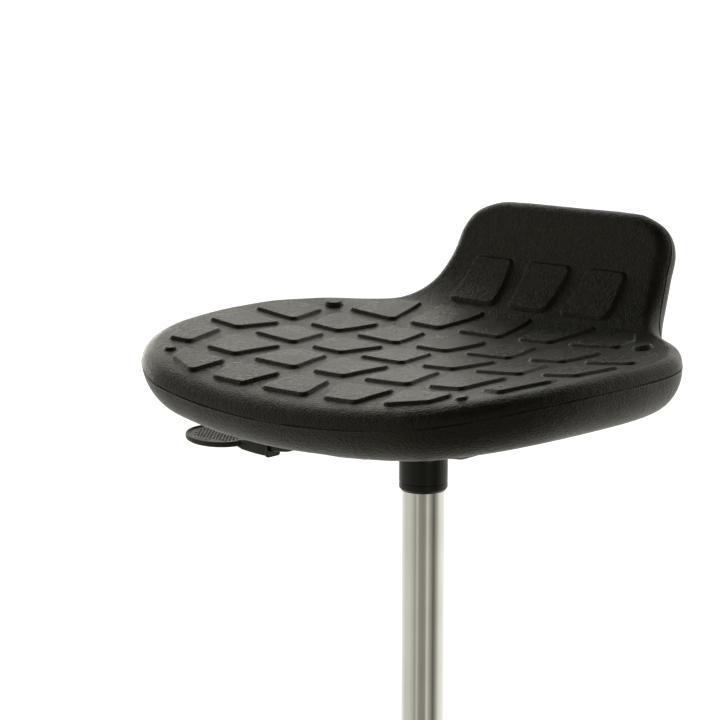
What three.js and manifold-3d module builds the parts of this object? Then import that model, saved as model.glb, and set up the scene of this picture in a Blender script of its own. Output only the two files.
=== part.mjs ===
// Perch stool: a moulded foam seat with a low back rest, on a gas spring column and a five-armed base.
// Millimetres, +Z up. The floor is z = 0, the sitter faces -Y, and +X is the sitter's left.
// The origin lies on the floor in the middle of the base's footprint box, a little in front of the column.
// The seat is modelled right up, where the gas spring rests on its stop.

import * as THREE from "three";
import { mergeVertices } from "three/addons/utils/BufferGeometryUtils.js";
import Module from "manifold-3d";

const wasm = await Module();
wasm.setup();

// Driving dimensions

const CLEARANCE = 0.3; // gap between neighbouring pieces
const OVERRUN = 2; // how far a cutting body runs past the face that it cuts
const MERGE = 1e-4; // vertices closer than this are one vertex

const SEGMENTS = { visible: 24, hidden: 16, small: 10 };
const STEPS = { corner: 2, outline: 4, bend: 6, channel: 4, armRing: 12 };

const GLIDE = {
  footRadius: 22,
  footSkirt: 4,
  footHeight: 11,
  neckRadius: 8,
  neckHeight: 3.4,
  stemRadius: 5,
  stemInArm: 14,
  nutRadius: 8.5,
  nutHeight: 5,
  socket: 6, // depth of the foot's socket for the stem
  inset: 9, // from the centre of an arm's round tip back to the stem
};

const BASE = {
  arms: 5,
  tipReach: 294, // column's axis to the centre of an arm's round tip
  tipRadius: 16,
  tipDepth: 20,
  rootReach: 16,
  rootHalfWidth: 23,
  rootUnderHubTop: 6,
  rootOverHubFloor: 3,
  hubWall: 11,
  hubHeight: 57,
  hubChamfer: 4,
  wall: 4,
  channelFromHub: 24, // the hollow under an arm starts this far out from the hub
  channelFromStem: 30, // and ends this far short of the glide's stem
  fallPower: 0.8, // how soon an arm levels out from its steep root
  sectionPower: 0.62, // an arm's section lies between an ellipse, at 1, and a rectangle, at 0
};

const COLUMN = {
  stroke: 250, // travel of the gas spring
  leastExposed: 15, // chrome that still shows when the seat is right down
  underHub: 4, // how far the outer tube reaches below the base's hub
  tubeBottom: 45, // height of the outer tube's lower end over the floor
  tubeOuter: 25, // radius
  tubeWall: 1.5,
  tubeTaper: 0.9, // how much narrower the tube is where the base grips it
  endPlate: 4,
  endPlateBore: 7,
  bumperGap: 9.5, // left between the cylinder and the bumper when the seat is right down
  bushLength: 85,
  bushFlange: 3,
  capWall: 1.9,
  capSkirt: 16,
  capLip: 2,
};

const SPRING = {
  outer: 14, // radius of the chrome pressure cylinder
  wall: 1.5,
  inTube: 87, // length of cylinder inside the outer tube when the seat is right up
  coneDrop: 0.8, // how much narrower the cylinder's top is
  coneLength: 32,
  endWall: 6,
  lip: 2,
  lipWidth: 3.5,
  oilGap: 1.9, // between the cylinder's wall and its inner tube
  innerTubeWall: 1,
  glandLength: 18,
  valveLength: 30,
  pinRadius: 4,
  pinLength: 22,
  pinProud: 4.2, // height of the release pin over the collar's top
  pinDome: 1,
  pinTravel: 3.2,
  pistonHeight: 14,
  pistonOverGland: 6,
  sealDepth: 1.6,
  sealHeight: 3.4,
  rodRadius: 5,
  rodShoulder: 1, // how much thinner the rod's two ends are
  rodTail: 2.7, // rod end below the retaining clip
};

const BEARING = {
  raceMargin: 0.9,
  raceThickness: 2,
  ballRadius: 2,
  ballCount: 6,
  pitchRadius: 10,
  cageRim: 1.6,
  cageThickness: 1.6,
  bumperRadius: 13,
  bumperHeight: 10,
  bumperWaist: 1.2,
  washerRadius: 12,
  washerThickness: 1.5,
  clipRadius: 8,
  clipThickness: 1.5,
  clipDepth: 0.8, // of the rod's groove
};

const HUB = {
  wall: 1.7,
  height: 30,
  chamfer: 2,
  intoHousing: 6, // how far the collar reaches up past the housing's lower face
};

const HOUSING = {
  pastPin: 13, // how far the housing reaches past the lever's pin
  pastCollar: 4, // and past the collar on its other side
  sideGap: 3, // between the collar and the channel's inner walls
  wall: 2.5,
  height: 24.4,
};

const PLATE = {
  length: 184, // across the seat
  width: 146,
  corner: 16,
  thickness: 3,
  holeInsetX: 12,
  holeInsetY: 13,
  holeRadius: 3.5,
  centreHole: 13,
};

const SCREW = {
  shankRadius: 2.7,
  headRadius: 6,
  headHeight: 4,
  washerRadius: 7,
  washerThickness: 1.2,
  intoBoard: 9,
};

const INSERT = {
  flangeRadius: 9,
  flangeThickness: 1.6,
  barrelWall: 1.5,
};

const BOARD = {
  marginX: 8, // board past the plate
  marginY: 17,
  thickness: 12,
  corner: 10,
};

const BOSS = {
  rim: 8, // foam past the board
  corner: 14,
  flare: 12, // how much the boss widens up to the seat's body, on each side
};

const LEVER = {
  bossRadius: 6,
  bossGap: 4, // between the lever's boss and the collar
  pivotOverHub: 8,
  pinRadius: 3,
  pinHead: 1.8, // head's radius past the pin's
  width: 9,
  thickness: 5,
  fingerPast: 6, // finger past the column's axis
  kneeRun: 24, // pivot out to the knee
  kneeDrop: 2.5,
  elbowRun: 70,
  elbowDrop: 26,
  tailRun: 37,
  tailDrop: 4.1,
};

const GRIP = {
  fromTail: 33, // arm's end out to the paddle's middle
  halfLength: 28.5,
  halfWidth: 19,
  tilt: 7.8, // degrees that the paddle's face leans to the front
  plateThickness: 3,
  rimHeight: 1,
  rimWidth: 2.4,
  overTail: 3.4, // middle of the paddle's face over the arm's middle line
  sleeveOver: 13, // sleeve past the arm's end
  sleeveLength: 34,
  sleeveSide: 1.5, // sleeve's walls round the arm
  lipLength: 2.4,
  lipProud: 0.6,
};

const SEAT = {
  halfWidth: 176,
  frontReach: 156, // column's axis to the front edge, along the surface
  backReach: 192.5, // column's axis to the top of the back rest, along the surface
  foamDepth: 39.9, // top surface at the column's axis over the foam's underside
  sideRise: 12.3, // how far the sides are dished up at the full half width
  backWrap: 1.5, // how far the back rest curls forward at the full half width
  upperRim: 10.5, // crest of the rim down to the moulding line
  lowerRim: 25, // moulding line down to the underside
  upperRound: 10, // how far in from the edge the upper rounding starts
  lowerRound: 22,
};

const PAD = {
  rise: 2.4,
  sink: 2.6,
  buttonRear: 5.5,
  buttonFront: 3.5,
  buttonSides: 6,
};

const STIFFENER = {
  width: 60,
  thickness: 3,
  legStart: 20, // behind the column's axis
  bendRun: 38, // from the leg's flat part to the corner that the bend rounds off
};

// The seat's plan outline, from the front round to the top of the back rest, as shares of the half width
// and, along the surface, of the front reach or the back reach.
const FRONT_OUTLINE_SHARES = [
  [0, 1],
  [0.26, 0.983],
  [0.45, 0.952],
  [0.615, 0.904],
  [0.761, 0.801],
  [0.886, 0.639],
  [0.96, 0.446],
  [0.996, 0.218],
];
const REAR_OUTLINE_SHARES = [
  [1.006, 0.02],
  [0.982, 0.187],
  [0.902, 0.315],
  [0.814, 0.418],
  [0.716, 0.496],
  [0.614, 0.565],
  [0.552, 0.653],
  [0.514, 0.783],
  [0.499, 0.885],
  [0.452, 0.951],
  [0.35, 0.993],
  [0.239, 1],
  [0, 1],
];

// The slope of the seat's centre line in degrees, at shares of the front reach and of the back reach.
const FRONT_SLOPE_SHARES = [
  [1.12, 16],
  [0.833, 9.5],
  [0.641, 5],
  [0.32, 0.7],
];
const REAR_SLOPE_SHARES = [
  [0, 0.2],
  [0.26, 5.6],
  [0.39, 7],
  [0.478, 13],
  [0.54, 27.5],
  [0.655, 43.5],
  [0.78, 61],
  [0.91, 68],
  [1.2, 63],
];

// Of the back reach: where the seat's dish gives way to the back rest's wrap, and where the rim thins.
const DISH_FADE_SHARES = [0.31, 0.68];
const THIN_FADE_SHARES = [0.52, 0.78];
const BACK_THIN_SHARE = 0.174;

// Rows of the seat's skin as shares of the two reaches, and its columns as shares of a row's half width.
const FRONT_ROW_SHARES = [0.99, 0.95, 0.88, 0.75, 0.5, 0.25];
const REAR_ROW_SHARES = [0, 0.2, 0.35, 0.46, 0.535, 0.6, 0.67, 0.78, 0.89, 0.95, 0.987];
const TOP_COLUMN_SHARES = [1, 0.985, 0.955, 0.9, 0.66, 0.33, 0];
const LOW_COLUMN_SHARES = [1, 0.955, 0.86, 0.45];

// Rows of pads: front and rear edge, and how many pads lie to each side of the middle one. A pad is narrow at
// one end and wide at the other, and its neighbours are the other way round.
const PAD_PITCH_SHARE = 0.266;
const PAD_HALF_WIDTH_SHARES = { narrow: 0.071, wide: 0.105 };
const PAD_ROW_SHARES = [
  { front: 0.3, rear: 0.498, sides: 1, wideFront: true },
  { front: 0.036, rear: 0.203, sides: 3, wideFront: false },
  { front: -0.27, rear: -0.064, sides: 3, wideFront: true },
  { front: -0.585, rear: -0.372, sides: 2, wideFront: false },
  { front: -0.85, rear: -0.688, sides: 1, wideFront: true },
  { front: 0.585, rear: 0.77, sides: 1, wideFront: false },
];
const PAD_TOP_SHARE = 0.91; // a pad's top against the pad at the surface
const PAD_FOOT_SHARE = 1.09; // and its sunk foot

// Pads that the rim cuts short, and the round raised points, on one side: across as shares of the half width.
const CUT_PAD_SHARES = [
  [
    [0.43, 0.3],
    [0.63, 0.3],
    [0.62, 0.38],
    [0.56, 0.455],
    [0.475, 0.49],
  ],
  [
    [0.7, -0.585],
    [0.775, -0.605],
    [0.855, -0.42],
    [0.85, -0.372],
    [0.74, -0.372],
  ],
  [
    [0.46, -0.84],
    [0.6, -0.775],
    [0.63, -0.68],
    [0.43, -0.688],
  ],
];
const REAR_BUTTON_SHARES = [0.74, 0.305];
const FRONT_BUTTON_SHARES = [0.7, -0.7];

// The stiffener's straight back leg, as shares of the back reach, and its depth as a share of the thickness.
const STIFFENER_BACK_SHARES = [0.68, 0.88];
const STIFFENER_DEPTH_SHARE = 0.5;

const ARM_STATION_SHARES = [0, 0.25, 0.55, 0.85, 1];
const TIP_ROUND_SHARES = [0.6, 0.92, 0.995]; // of the tip's radius
const LEVER_BEND_SHARE = 0.12; // of a leg, rounded off at each bend

// Heights over the collar's lower edge

const housingFloor = HUB.height - HUB.intoHousing;
const housingTop = housingFloor + HOUSING.height;
const plateBottom = housingTop + CLEARANCE;
const plateTop = plateBottom + PLATE.thickness;
const washerHigh = plateBottom - CLEARANCE;
const washerLow = washerHigh - SCREW.washerThickness;
const foamBottom = plateTop + CLEARANCE;
const boardTop = foamBottom + BOARD.thickness;
const crown = foamBottom + SEAT.foamDepth;
const bossTop = crown - (SEAT.upperRim + SEAT.lowerRim) / 2;
const pinTop = HUB.height + SPRING.pinProud;
const pivotHeight = HUB.height + LEVER.pivotOverHub;

// Heights over the floor

const nutLow = GLIDE.footHeight + GLIDE.neckHeight + CLEARANCE;
const nutHigh = nutLow + GLIDE.nutHeight;
const tipBottom = nutHigh + CLEARANCE;
const stemTop = tipBottom + GLIDE.stemInArm;
const hubBottom = COLUMN.tubeBottom + COLUMN.underHub;
const hubTop = hubBottom + BASE.hubHeight;
const gripTop = hubTop + OVERRUN; // where the outer tube's taper ends
const endPlateTop = COLUMN.tubeBottom + COLUMN.endPlate;
const lowerRace = endPlateTop + CLEARANCE;
const ballLow = lowerRace + BEARING.raceThickness + CLEARANCE;
const upperRace = ballLow + 2 * BEARING.ballRadius + CLEARANCE;
const rodShoulderLow = upperRace + BEARING.raceThickness + CLEARANCE;
const bumperLow = rodShoulderLow + CLEARANCE;
const bumperTop = bumperLow + BEARING.bumperHeight;
const tubeTop = bumperTop + COLUMN.bumperGap + COLUMN.stroke + SPRING.inTube;
const capUnderLip = tubeTop + COLUMN.bushFlange + 2 * CLEARANCE;
const capTop = capUnderLip + COLUMN.capLip;
const collarHeight = capTop + COLUMN.leastExposed + COLUMN.stroke;
const washerTop = COLUMN.tubeBottom - CLEARANCE;
const clipTop = washerTop - BEARING.washerThickness - CLEARANCE;
const clipLow = clipTop - BEARING.clipThickness;

// Widths, lengths and radii that follow

const hubOuter = SPRING.outer + CLEARANCE + HUB.wall;
const housingInner = hubOuter + HOUSING.sideGap; // half the channel's inner width
const housingOuter = housingInner + HOUSING.wall;
const pivotReach = hubOuter + LEVER.bossGap + LEVER.bossRadius;
const housingEnds = [-pivotReach - HOUSING.pastPin, hubOuter + HOUSING.pastCollar];
const housingLength = housingEnds[1] - housingEnds[0];
const boardLength = PLATE.length + 2 * BOARD.marginX;
const boardWidth = PLATE.width + 2 * BOARD.marginY;
const glideReach = BASE.tipReach - GLIDE.inset;
const hubRadius = COLUMN.tubeOuter + BASE.hubWall;
const tubeInner = COLUMN.tubeOuter - COLUMN.tubeWall;
const cylinderInner = SPRING.outer - SPRING.wall;
const innerTubeOuter = cylinderInner - SPRING.oilGap;
const pistonRadius = innerTubeOuter - SPRING.innerTubeWall - CLEARANCE;
const spigotRadius = SPRING.rodRadius - SPRING.rodShoulder;
const insertBore = SCREW.shankRadius + CLEARANCE;
const insertBarrel = insertBore + INSERT.barrelWall;
const cageOuter = BEARING.pitchRadius + BEARING.ballRadius + BEARING.cageRim;
const cageInner = BEARING.pitchRadius - BEARING.ballRadius - BEARING.cageRim;

// Closed surfaces and solids

/** One closed surface with merged vertices, its faces pointing out. */
function closedSurface(geometry) {
  const bare = new THREE.BufferGeometry();
  bare.setAttribute("position", geometry.getAttribute("position").clone());
  if (geometry.index) bare.setIndex(geometry.index.clone());
  const merged = mergeVertices(bare, MERGE);
  const place = merged.getAttribute("position");
  const corners = merged.index.array;
  const kept = [];
  const a = new THREE.Vector3();
  const b = new THREE.Vector3();
  const c = new THREE.Vector3();
  let volume = 0;
  for (let i = 0; i < corners.length; i += 3) {
    const [p, q, r] = [corners[i], corners[i + 1], corners[i + 2]];
    if (p === q || q === r || r === p) continue;
    kept.push(p, q, r);
    a.fromBufferAttribute(place, p);
    b.fromBufferAttribute(place, q);
    c.fromBufferAttribute(place, r);
    volume += a.dot(b.cross(c));
  }
  if (volume < 0) kept.reverse();
  merged.setIndex(kept);
  return merged;
}

function solidOf(geometry) {
  const surface = closedSurface(geometry);
  return new wasm.Manifold(
    new wasm.Mesh({
      numProp: 3,
      vertProperties: new Float32Array(surface.getAttribute("position").array),
      triVerts: new Uint32Array(surface.index.array),
    }),
  );
}

function geometryOf(solid) {
  const mesh = solid.getMesh();
  const places = new Float32Array(mesh.numVert * 3);
  for (let i = 0; i < mesh.numVert; i++) {
    places.set(mesh.vertProperties.subarray(i * mesh.numProp, i * mesh.numProp + 3), i * 3);
  }
  const geometry = new THREE.BufferGeometry();
  geometry.setAttribute("position", new THREE.BufferAttribute(places, 3));
  geometry.setIndex(new THREE.BufferAttribute(new Uint32Array(mesh.triVerts), 1));
  return geometry;
}

function joined(...geometries) {
  return geometryOf(geometries.map(solidOf).reduce((whole, next) => whole.add(next)));
}

function cutFrom(geometry, ...cutters) {
  return geometryOf(cutters.map(solidOf).reduce((whole, next) => whole.subtract(next), solidOf(geometry)));
}

/** A turned piece about Z. The profile is a list of [radius, height] points, and closes on itself. */
function turned(profile, segments) {
  const points = [...profile, profile[0]].map(([radius, height]) => new THREE.Vector2(radius, height));
  return closedSurface(new THREE.LatheGeometry(points, segments).rotateX(Math.PI / 2));
}

/** A ring about Z with square edges, or a plain rod where its inner radius is zero. */
function ring(inner, outer, low, high, segments) {
  return turned(
    [
      [inner, low],
      [outer, low],
      [outer, high],
      [inner, high],
    ],
    segments,
  );
}

function box(sizeX, sizeY, low, high, centreX = 0) {
  return new THREE.BoxGeometry(sizeX, sizeY, high - low).translate(centreX, 0, (low + high) / 2);
}

function roundedRectangle(sizeX, sizeY, corner) {
  const [x, y] = [sizeX / 2 - corner, sizeY / 2 - corner];
  const quarter = Math.PI / 2;
  const shape = new THREE.Shape();
  shape.absarc(x, -y, corner, -quarter, 0);
  shape.absarc(x, y, corner, 0, quarter);
  shape.absarc(-x, y, corner, quarter, 2 * quarter);
  shape.absarc(-x, -y, corner, 2 * quarter, 3 * quarter);
  return shape;
}

function roundedPlate(sizeX, sizeY, corner, low, high) {
  const settings = { depth: high - low, bevelEnabled: false, curveSegments: STEPS.corner };
  return new THREE.ExtrudeGeometry(roundedRectangle(sizeX, sizeY, corner), settings).translate(0, 0, low);
}

/** The closed outline of a band of even thickness, centred on a path in a plane. */
function bandOutline(path, thickness) {
  const left = [];
  const right = [];
  path.forEach((point, i) => {
    const before = path[Math.max(i - 1, 0)];
    const after = path[Math.min(i + 1, path.length - 1)];
    const along = after.clone().sub(before).normalize();
    const offset = new THREE.Vector2(-along.y, along.x).multiplyScalar(thickness / 2);
    left.push(point.clone().add(offset));
    right.push(point.clone().sub(offset));
  });
  return [...left, ...right.reverse()];
}

/** A body of even width across Y, from its outline in X and Z. */
function acrossY(outline, width) {
  const body = new THREE.ExtrudeGeometry(new THREE.Shape(outline), { depth: width, bevelEnabled: false });
  return body.translate(0, 0, -width / 2).rotateX(Math.PI / 2);
}

/** A body of even width across X, from its outline in Y and Z. */
function acrossX(outline, width) {
  return acrossY(outline, width).rotateZ(Math.PI / 2);
}

function middleOf(points) {
  return points.reduce((sum, point) => sum.add(point), new THREE.Vector3()).divideScalar(points.length);
}

/** A closed skin over rings of equally many points. The given points, or the rings' middles, close its ends. */
function lofted(rings, tips = [middleOf(rings.at(0)), middleOf(rings.at(-1))]) {
  const count = rings[0].length;
  const last = (rings.length - 1) * count;
  const tip = rings.length * count;
  const faces = [];
  for (let i = 0; i < count; i++) {
    const next = (i + 1) % count;
    for (let r = 0; r < last; r += count) {
      faces.push(r + i, r + next, r + next + count);
      faces.push(r + i, r + next + count, r + i + count);
    }
    faces.push(tip, next, i);
    faces.push(tip + 1, last + i, last + next);
  }
  const skin = new THREE.BufferGeometry().setFromPoints([...rings.flat(), ...tips]);
  skin.setIndex(faces);
  return closedSurface(skin);
}

// Finishes

const FINISH = {
  foam: { color: 0x1b1a19, roughness: 0.55, metalness: 0 },
  blackSteel: { color: 0x141414, roughness: 0.45, metalness: 0.3 },
  chrome: { color: 0xd9dadb, roughness: 0.08, metalness: 1 },
  zinc: { color: 0xb4b6b6, roughness: 0.35, metalness: 0.9 },
  aluminium: { color: 0xc3c5c6, roughness: 0.25, metalness: 1 },
  plastic: { color: 0x191919, roughness: 0.5, metalness: 0 },
  nylon: { color: 0xd8d4c8, roughness: 0.6, metalness: 0 },
  rubber: { color: 0x121212, roughness: 0.85, metalness: 0 },
  plywood: { color: 0xb08a5a, roughness: 0.8, metalness: 0 },
};

function piece(name, geometry, finish) {
  const mesh = new THREE.Mesh(closedSurface(geometry), new THREE.MeshStandardMaterial(finish));
  mesh.name = name;
  return mesh;
}

// The seat's surface. A place on it is given as across, along the surface from the column's axis, and out
// from the surface along its normal.

function reach(share) {
  return share < 0 ? share * SEAT.frontReach : share * SEAT.backReach;
}

const slopeStations = [
  ...FRONT_SLOPE_SHARES.map(([share, degrees]) => [reach(-share), THREE.MathUtils.degToRad(degrees)]),
  ...REAR_SLOPE_SHARES.map(([share, degrees]) => [reach(share), THREE.MathUtils.degToRad(degrees)]),
];

/** The centre line's place and slope: arcs, tangent to each other, from the column's axis either way. */
function centreLine(along) {
  const step = along < 0 ? -1 : 1;
  let i = FRONT_SLOPE_SHARES.length;
  let [from, slope] = slopeStations[i];
  let [y, z] = [0, crown];
  while (from !== along) {
    i += step;
    const [to, nextSlope] = slopeStations[i] ?? [along, slope];
    const end = (along - to) * step > 0 ? to : along;
    const endSlope = slope + ((nextSlope - slope) * (end - from)) / (to - from);
    const middle = (slope + endSlope) / 2;
    const half = (endSlope - slope) / 2;
    const chord = (end - from) * (half === 0 ? 1 : Math.sin(half) / half);
    y += chord * Math.cos(middle);
    z += chord * Math.sin(middle);
    [from, slope] = [end, endSlope];
  }
  return { y, z, slope };
}

function fade(along, shares) {
  return THREE.MathUtils.smoothstep(along / SEAT.backReach, ...shares);
}

/** How far the surface rises off the centre line towards its sides. */
function dish(x, along) {
  const side = x / SEAT.halfWidth;
  return THREE.MathUtils.lerp(SEAT.sideRise, SEAT.backWrap, fade(along, DISH_FADE_SHARES)) * side ** 2;
}

function seatPoint(x, along, out) {
  const { y, z, slope } = centreLine(along);
  const lift = dish(x, along) + out;
  return new THREE.Vector3(x, y - Math.sin(slope) * lift, z + Math.cos(slope) * lift);
}

/** The seat's edge as a closed smooth curve, across and along the surface. */
function seatOutline() {
  const half = [
    ...FRONT_OUTLINE_SHARES.map(([x, s]) => new THREE.Vector3(x * SEAT.halfWidth, reach(-s), 0)),
    ...REAR_OUTLINE_SHARES.map(([x, s]) => new THREE.Vector3(x * SEAT.halfWidth, reach(s), 0)),
  ];
  const otherHalf = half.slice(1, -1).reverse();
  const loop = [...half, ...otherHalf.map((p) => new THREE.Vector3(-p.x, p.y, 0))];
  const curve = new THREE.CatmullRomCurve3(loop, true, "centripetal");
  const count = loop.length * STEPS.outline;
  return Array.from({ length: count }, (_, i) => curve.getPoint(i / count));
}

const edge = seatOutline();
const edgeSides = edge.map((point, i) => new THREE.Line3(point, edge[(i + 1) % edge.length]));

function insetFromEdge(x, along) {
  const point = new THREE.Vector3(x, along, 0);
  const nearest = new THREE.Vector3();
  const distances = edgeSides.map((side) => side.closestPointToPoint(point, true, nearest).distanceTo(point));
  return Math.min(...distances);
}

function halfWidthAt(along) {
  const crossings = edgeSides
    .filter(({ start, end }) => start.y !== end.y && (along - start.y) * (along - end.y) <= 0)
    .map(({ start, end }) => start.x + ((along - start.y) / (end.y - start.y)) * (end.x - start.x));
  return Math.max(...crossings);
}

function rimShare(along) {
  return 1 - BACK_THIN_SHARE * fade(along, THIN_FADE_SHARES);
}

function roundOff(inset, round) {
  return Math.sqrt(1 - (1 - THREE.MathUtils.clamp(inset / round, 0, 1)) ** 2);
}

function topOut(inset, along) {
  return -SEAT.upperRim * rimShare(along) * (1 - roundOff(inset, SEAT.upperRound));
}

function lowOut(inset, along) {
  return -rimShare(along) * (SEAT.upperRim + SEAT.lowerRim * roundOff(inset, SEAT.lowerRound));
}

function mirrored(shares) {
  const otherHalf = shares.filter((share) => share !== 0).reverse();
  return [...shares.map((share) => -share), ...otherHalf];
}

/** The moulded body without its pads: rows across the seat, each a loop over the top and back below. */
function seatBody() {
  const rows = [...FRONT_ROW_SHARES.map((share) => reach(-share)), ...REAR_ROW_SHARES.map(reach)];
  const rings = rows.map((along) => {
    const half = halfWidthAt(along);
    const placedBy = (outAt) => (share) => {
      const x = share * half;
      const inset = Math.abs(share) === 1 ? 0 : insetFromEdge(x, along);
      return seatPoint(x, along, outAt(inset, along));
    };
    const top = mirrored(TOP_COLUMN_SHARES).map(placedBy(topOut));
    const low = mirrored(LOW_COLUMN_SHARES).slice(1, -1).reverse().map(placedBy(lowOut));
    return [...top, ...low];
  });
  const tips = [reach(-1), reach(1)].map((along) => seatPoint(0, along, topOut(0, along)));
  return lofted(rings, tips);
}

function scaledAboutMiddle(corners, scale) {
  const middle = middleOf(corners);
  return corners.map((corner) => corner.clone().sub(middle).multiplyScalar(scale).add(middle));
}

/** A raised block that follows the seat's surface, from its corners across and along. */
function raised(corners) {
  const placed = (scale, out) => scaledAboutMiddle(corners, scale).map(({ x, y }) => seatPoint(x, y, out));
  return lofted([placed(PAD_FOOT_SHARE, -PAD.sink), placed(PAD_TOP_SHARE, PAD.rise)]);
}

function onSeat(x, share) {
  return new THREE.Vector3(x * SEAT.halfWidth, reach(share), 0);
}

function wholePads() {
  const { narrow, wide } = PAD_HALF_WIDTH_SHARES;
  return PAD_ROW_SHARES.flatMap((row) =>
    Array.from({ length: 2 * row.sides + 1 }, (_, i) => {
      const column = i - row.sides;
      const centre = column * PAD_PITCH_SHARE;
      const wideFront = (column % 2 === 0) === row.wideFront;
      const [front, rear] = wideFront ? [wide, narrow] : [narrow, wide];
      return [
        onSeat(centre - front, row.front),
        onSeat(centre + front, row.front),
        onSeat(centre + rear, row.rear),
        onSeat(centre - rear, row.rear),
      ];
    }),
  );
}

function cutPads(side) {
  return CUT_PAD_SHARES.map((shares) => shares.map(([x, s]) => onSeat(side * x, s)));
}

function button([x, s], radius, side) {
  return Array.from({ length: PAD.buttonSides }, (_, i) => {
    const angle = (2 * Math.PI * i) / PAD.buttonSides;
    return onSeat(side * x, s).add(new THREE.Vector3(radius * Math.cos(angle), radius * Math.sin(angle), 0));
  });
}

function raisedPieces() {
  const sided = [-1, 1].flatMap((side) => [
    ...cutPads(side),
    button(REAR_BUTTON_SHARES, PAD.buttonRear, side),
    button(FRONT_BUTTON_SHARES, PAD.buttonFront, side),
  ]);
  return [...wholePads(), ...sided].map(raised);
}

// The seat and what is moulded into it

/** The strip's path in Y and Z: flat on the board, a bend, and straight up the middle of the back rest. */
function stiffenerPath(grow) {
  const height = boardTop + CLEARANCE + STIFFENER.thickness / 2;
  const [backLow, backHigh] = STIFFENER_BACK_SHARES.map((share) => {
    const thickness = (SEAT.upperRim + SEAT.lowerRim) * rimShare(reach(share));
    const { y, z } = seatPoint(0, reach(share), -STIFFENER_DEPTH_SHARE * thickness);
    return new THREE.Vector2(y, z);
  });
  const rise = backHigh.clone().sub(backLow).normalize();
  const corner = backLow.clone().addScaledVector(rise, (height - backLow.y) / rise.y);
  const legEnd = new THREE.Vector2(corner.x - STIFFENER.bendRun, height);
  const bend = new THREE.QuadraticBezierCurve(legEnd, corner, backLow).getPoints(STEPS.bend);
  const start = new THREE.Vector2(STIFFENER.legStart - grow, height);
  return [start, ...bend, backHigh.addScaledVector(rise, grow)];
}

/** The strip, or the slot round it when it is grown by a clearance. */
function stiffenerBody(grow) {
  const outline = bandOutline(stiffenerPath(grow), STIFFENER.thickness + 2 * grow);
  return acrossX(outline, STIFFENER.width + 2 * grow);
}

/** The block of foam that holds the board, wider where it meets the seat's body. */
function seatBoss() {
  const loop = (grow, height) => {
    const length = boardLength + 2 * (BOSS.rim + grow);
    const width = boardWidth + 2 * (BOSS.rim + grow);
    const points = roundedRectangle(length, width, BOSS.corner + grow).getPoints(STEPS.corner);
    return points.map((p) => new THREE.Vector3(p.x, p.y, height));
  };
  return lofted([loop(0, foamBottom), loop(BOSS.flare, bossTop)]);
}

function seatFoam() {
  const pocket = roundedPlate(
    boardLength + 2 * CLEARANCE,
    boardWidth + 2 * CLEARANCE,
    BOARD.corner + CLEARANCE,
    foamBottom - OVERRUN,
    boardTop + CLEARANCE,
  );
  return cutFrom(joined(seatBody(), seatBoss(), ...raisedPieces()), pocket, stiffenerBody(CLEARANCE));
}

function mountingHoles() {
  const x = PLATE.length / 2 - PLATE.holeInsetX;
  const y = PLATE.width / 2 - PLATE.holeInsetY;
  return [
    [-x, -y],
    [x, -y],
    [x, y],
    [-x, y],
  ];
}

function seatBoard() {
  const flangeSeat = boardTop - INSERT.flangeThickness - CLEARANCE;
  const hole = turned(
    [
      [0, foamBottom - OVERRUN],
      [insertBarrel + CLEARANCE, foamBottom - OVERRUN],
      [insertBarrel + CLEARANCE, flangeSeat],
      [INSERT.flangeRadius + CLEARANCE, flangeSeat],
      [INSERT.flangeRadius + CLEARANCE, boardTop + OVERRUN],
      [0, boardTop + OVERRUN],
    ],
    SEGMENTS.small,
  );
  const blank = roundedPlate(boardLength, boardWidth, BOARD.corner, foamBottom, boardTop);
  return cutFrom(blank, ...mountingHoles().map(([x, y]) => hole.clone().translate(x, y, 0)));
}

function threadedInsert() {
  return turned(
    [
      [insertBore, foamBottom],
      [insertBarrel, foamBottom],
      [insertBarrel, boardTop - INSERT.flangeThickness],
      [INSERT.flangeRadius, boardTop - INSERT.flangeThickness],
      [INSERT.flangeRadius, boardTop],
      [insertBore, boardTop],
    ],
    SEGMENTS.small,
  );
}

// The mechanism under the seat

function mountingPlate() {
  const hole = ring(0, PLATE.holeRadius, plateBottom - OVERRUN, plateTop + OVERRUN, SEGMENTS.small);
  const centre = ring(0, PLATE.centreHole, plateBottom - OVERRUN, plateTop + OVERRUN, SEGMENTS.hidden);
  const blank = roundedPlate(PLATE.length, PLATE.width, PLATE.corner, plateBottom, plateTop);
  return cutFrom(blank, centre, ...mountingHoles().map(([x, y]) => hole.clone().translate(x, y, 0)));
}

function plateScrew() {
  const headHigh = washerLow - CLEARANCE;
  const headLow = headHigh - SCREW.headHeight;
  return turned(
    [
      [0, headLow],
      [SCREW.headRadius, headLow],
      [SCREW.headRadius, headHigh],
      [SCREW.shankRadius, headHigh],
      [SCREW.shankRadius, foamBottom + SCREW.intoBoard],
      [0, foamBottom + SCREW.intoBoard],
    ],
    SEGMENTS.small,
  );
}

function plateWasher() {
  return ring(SCREW.shankRadius + CLEARANCE, SCREW.washerRadius, washerLow, washerHigh, SEGMENTS.small);
}

/** Turns a piece made about Z to lie across, on the lever's pivot. */
function onPivot(geometry) {
  return geometry.rotateX(Math.PI / 2).translate(-pivotReach, 0, pivotHeight);
}

function leverHousing() {
  const floorTop = housingFloor + HOUSING.wall;
  const middle = (housingEnds[0] + housingEnds[1]) / 2;
  const channel = box(housingLength + 2 * OVERRUN, 2 * housingInner, floorTop, housingTop + OVERRUN, middle);
  const hubHole = ring(0, hubOuter + CLEARANCE, housingFloor - OVERRUN, floorTop + OVERRUN, SEGMENTS.visible);
  const acrossAll = housingOuter + OVERRUN;
  const pinHole = onPivot(ring(0, LEVER.pinRadius + CLEARANCE, -acrossAll, acrossAll, SEGMENTS.hidden));
  const bar = box(housingLength, 2 * housingOuter, housingFloor, housingTop, middle);
  return cutFrom(bar, channel, hubHole, pinHole);
}

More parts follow.
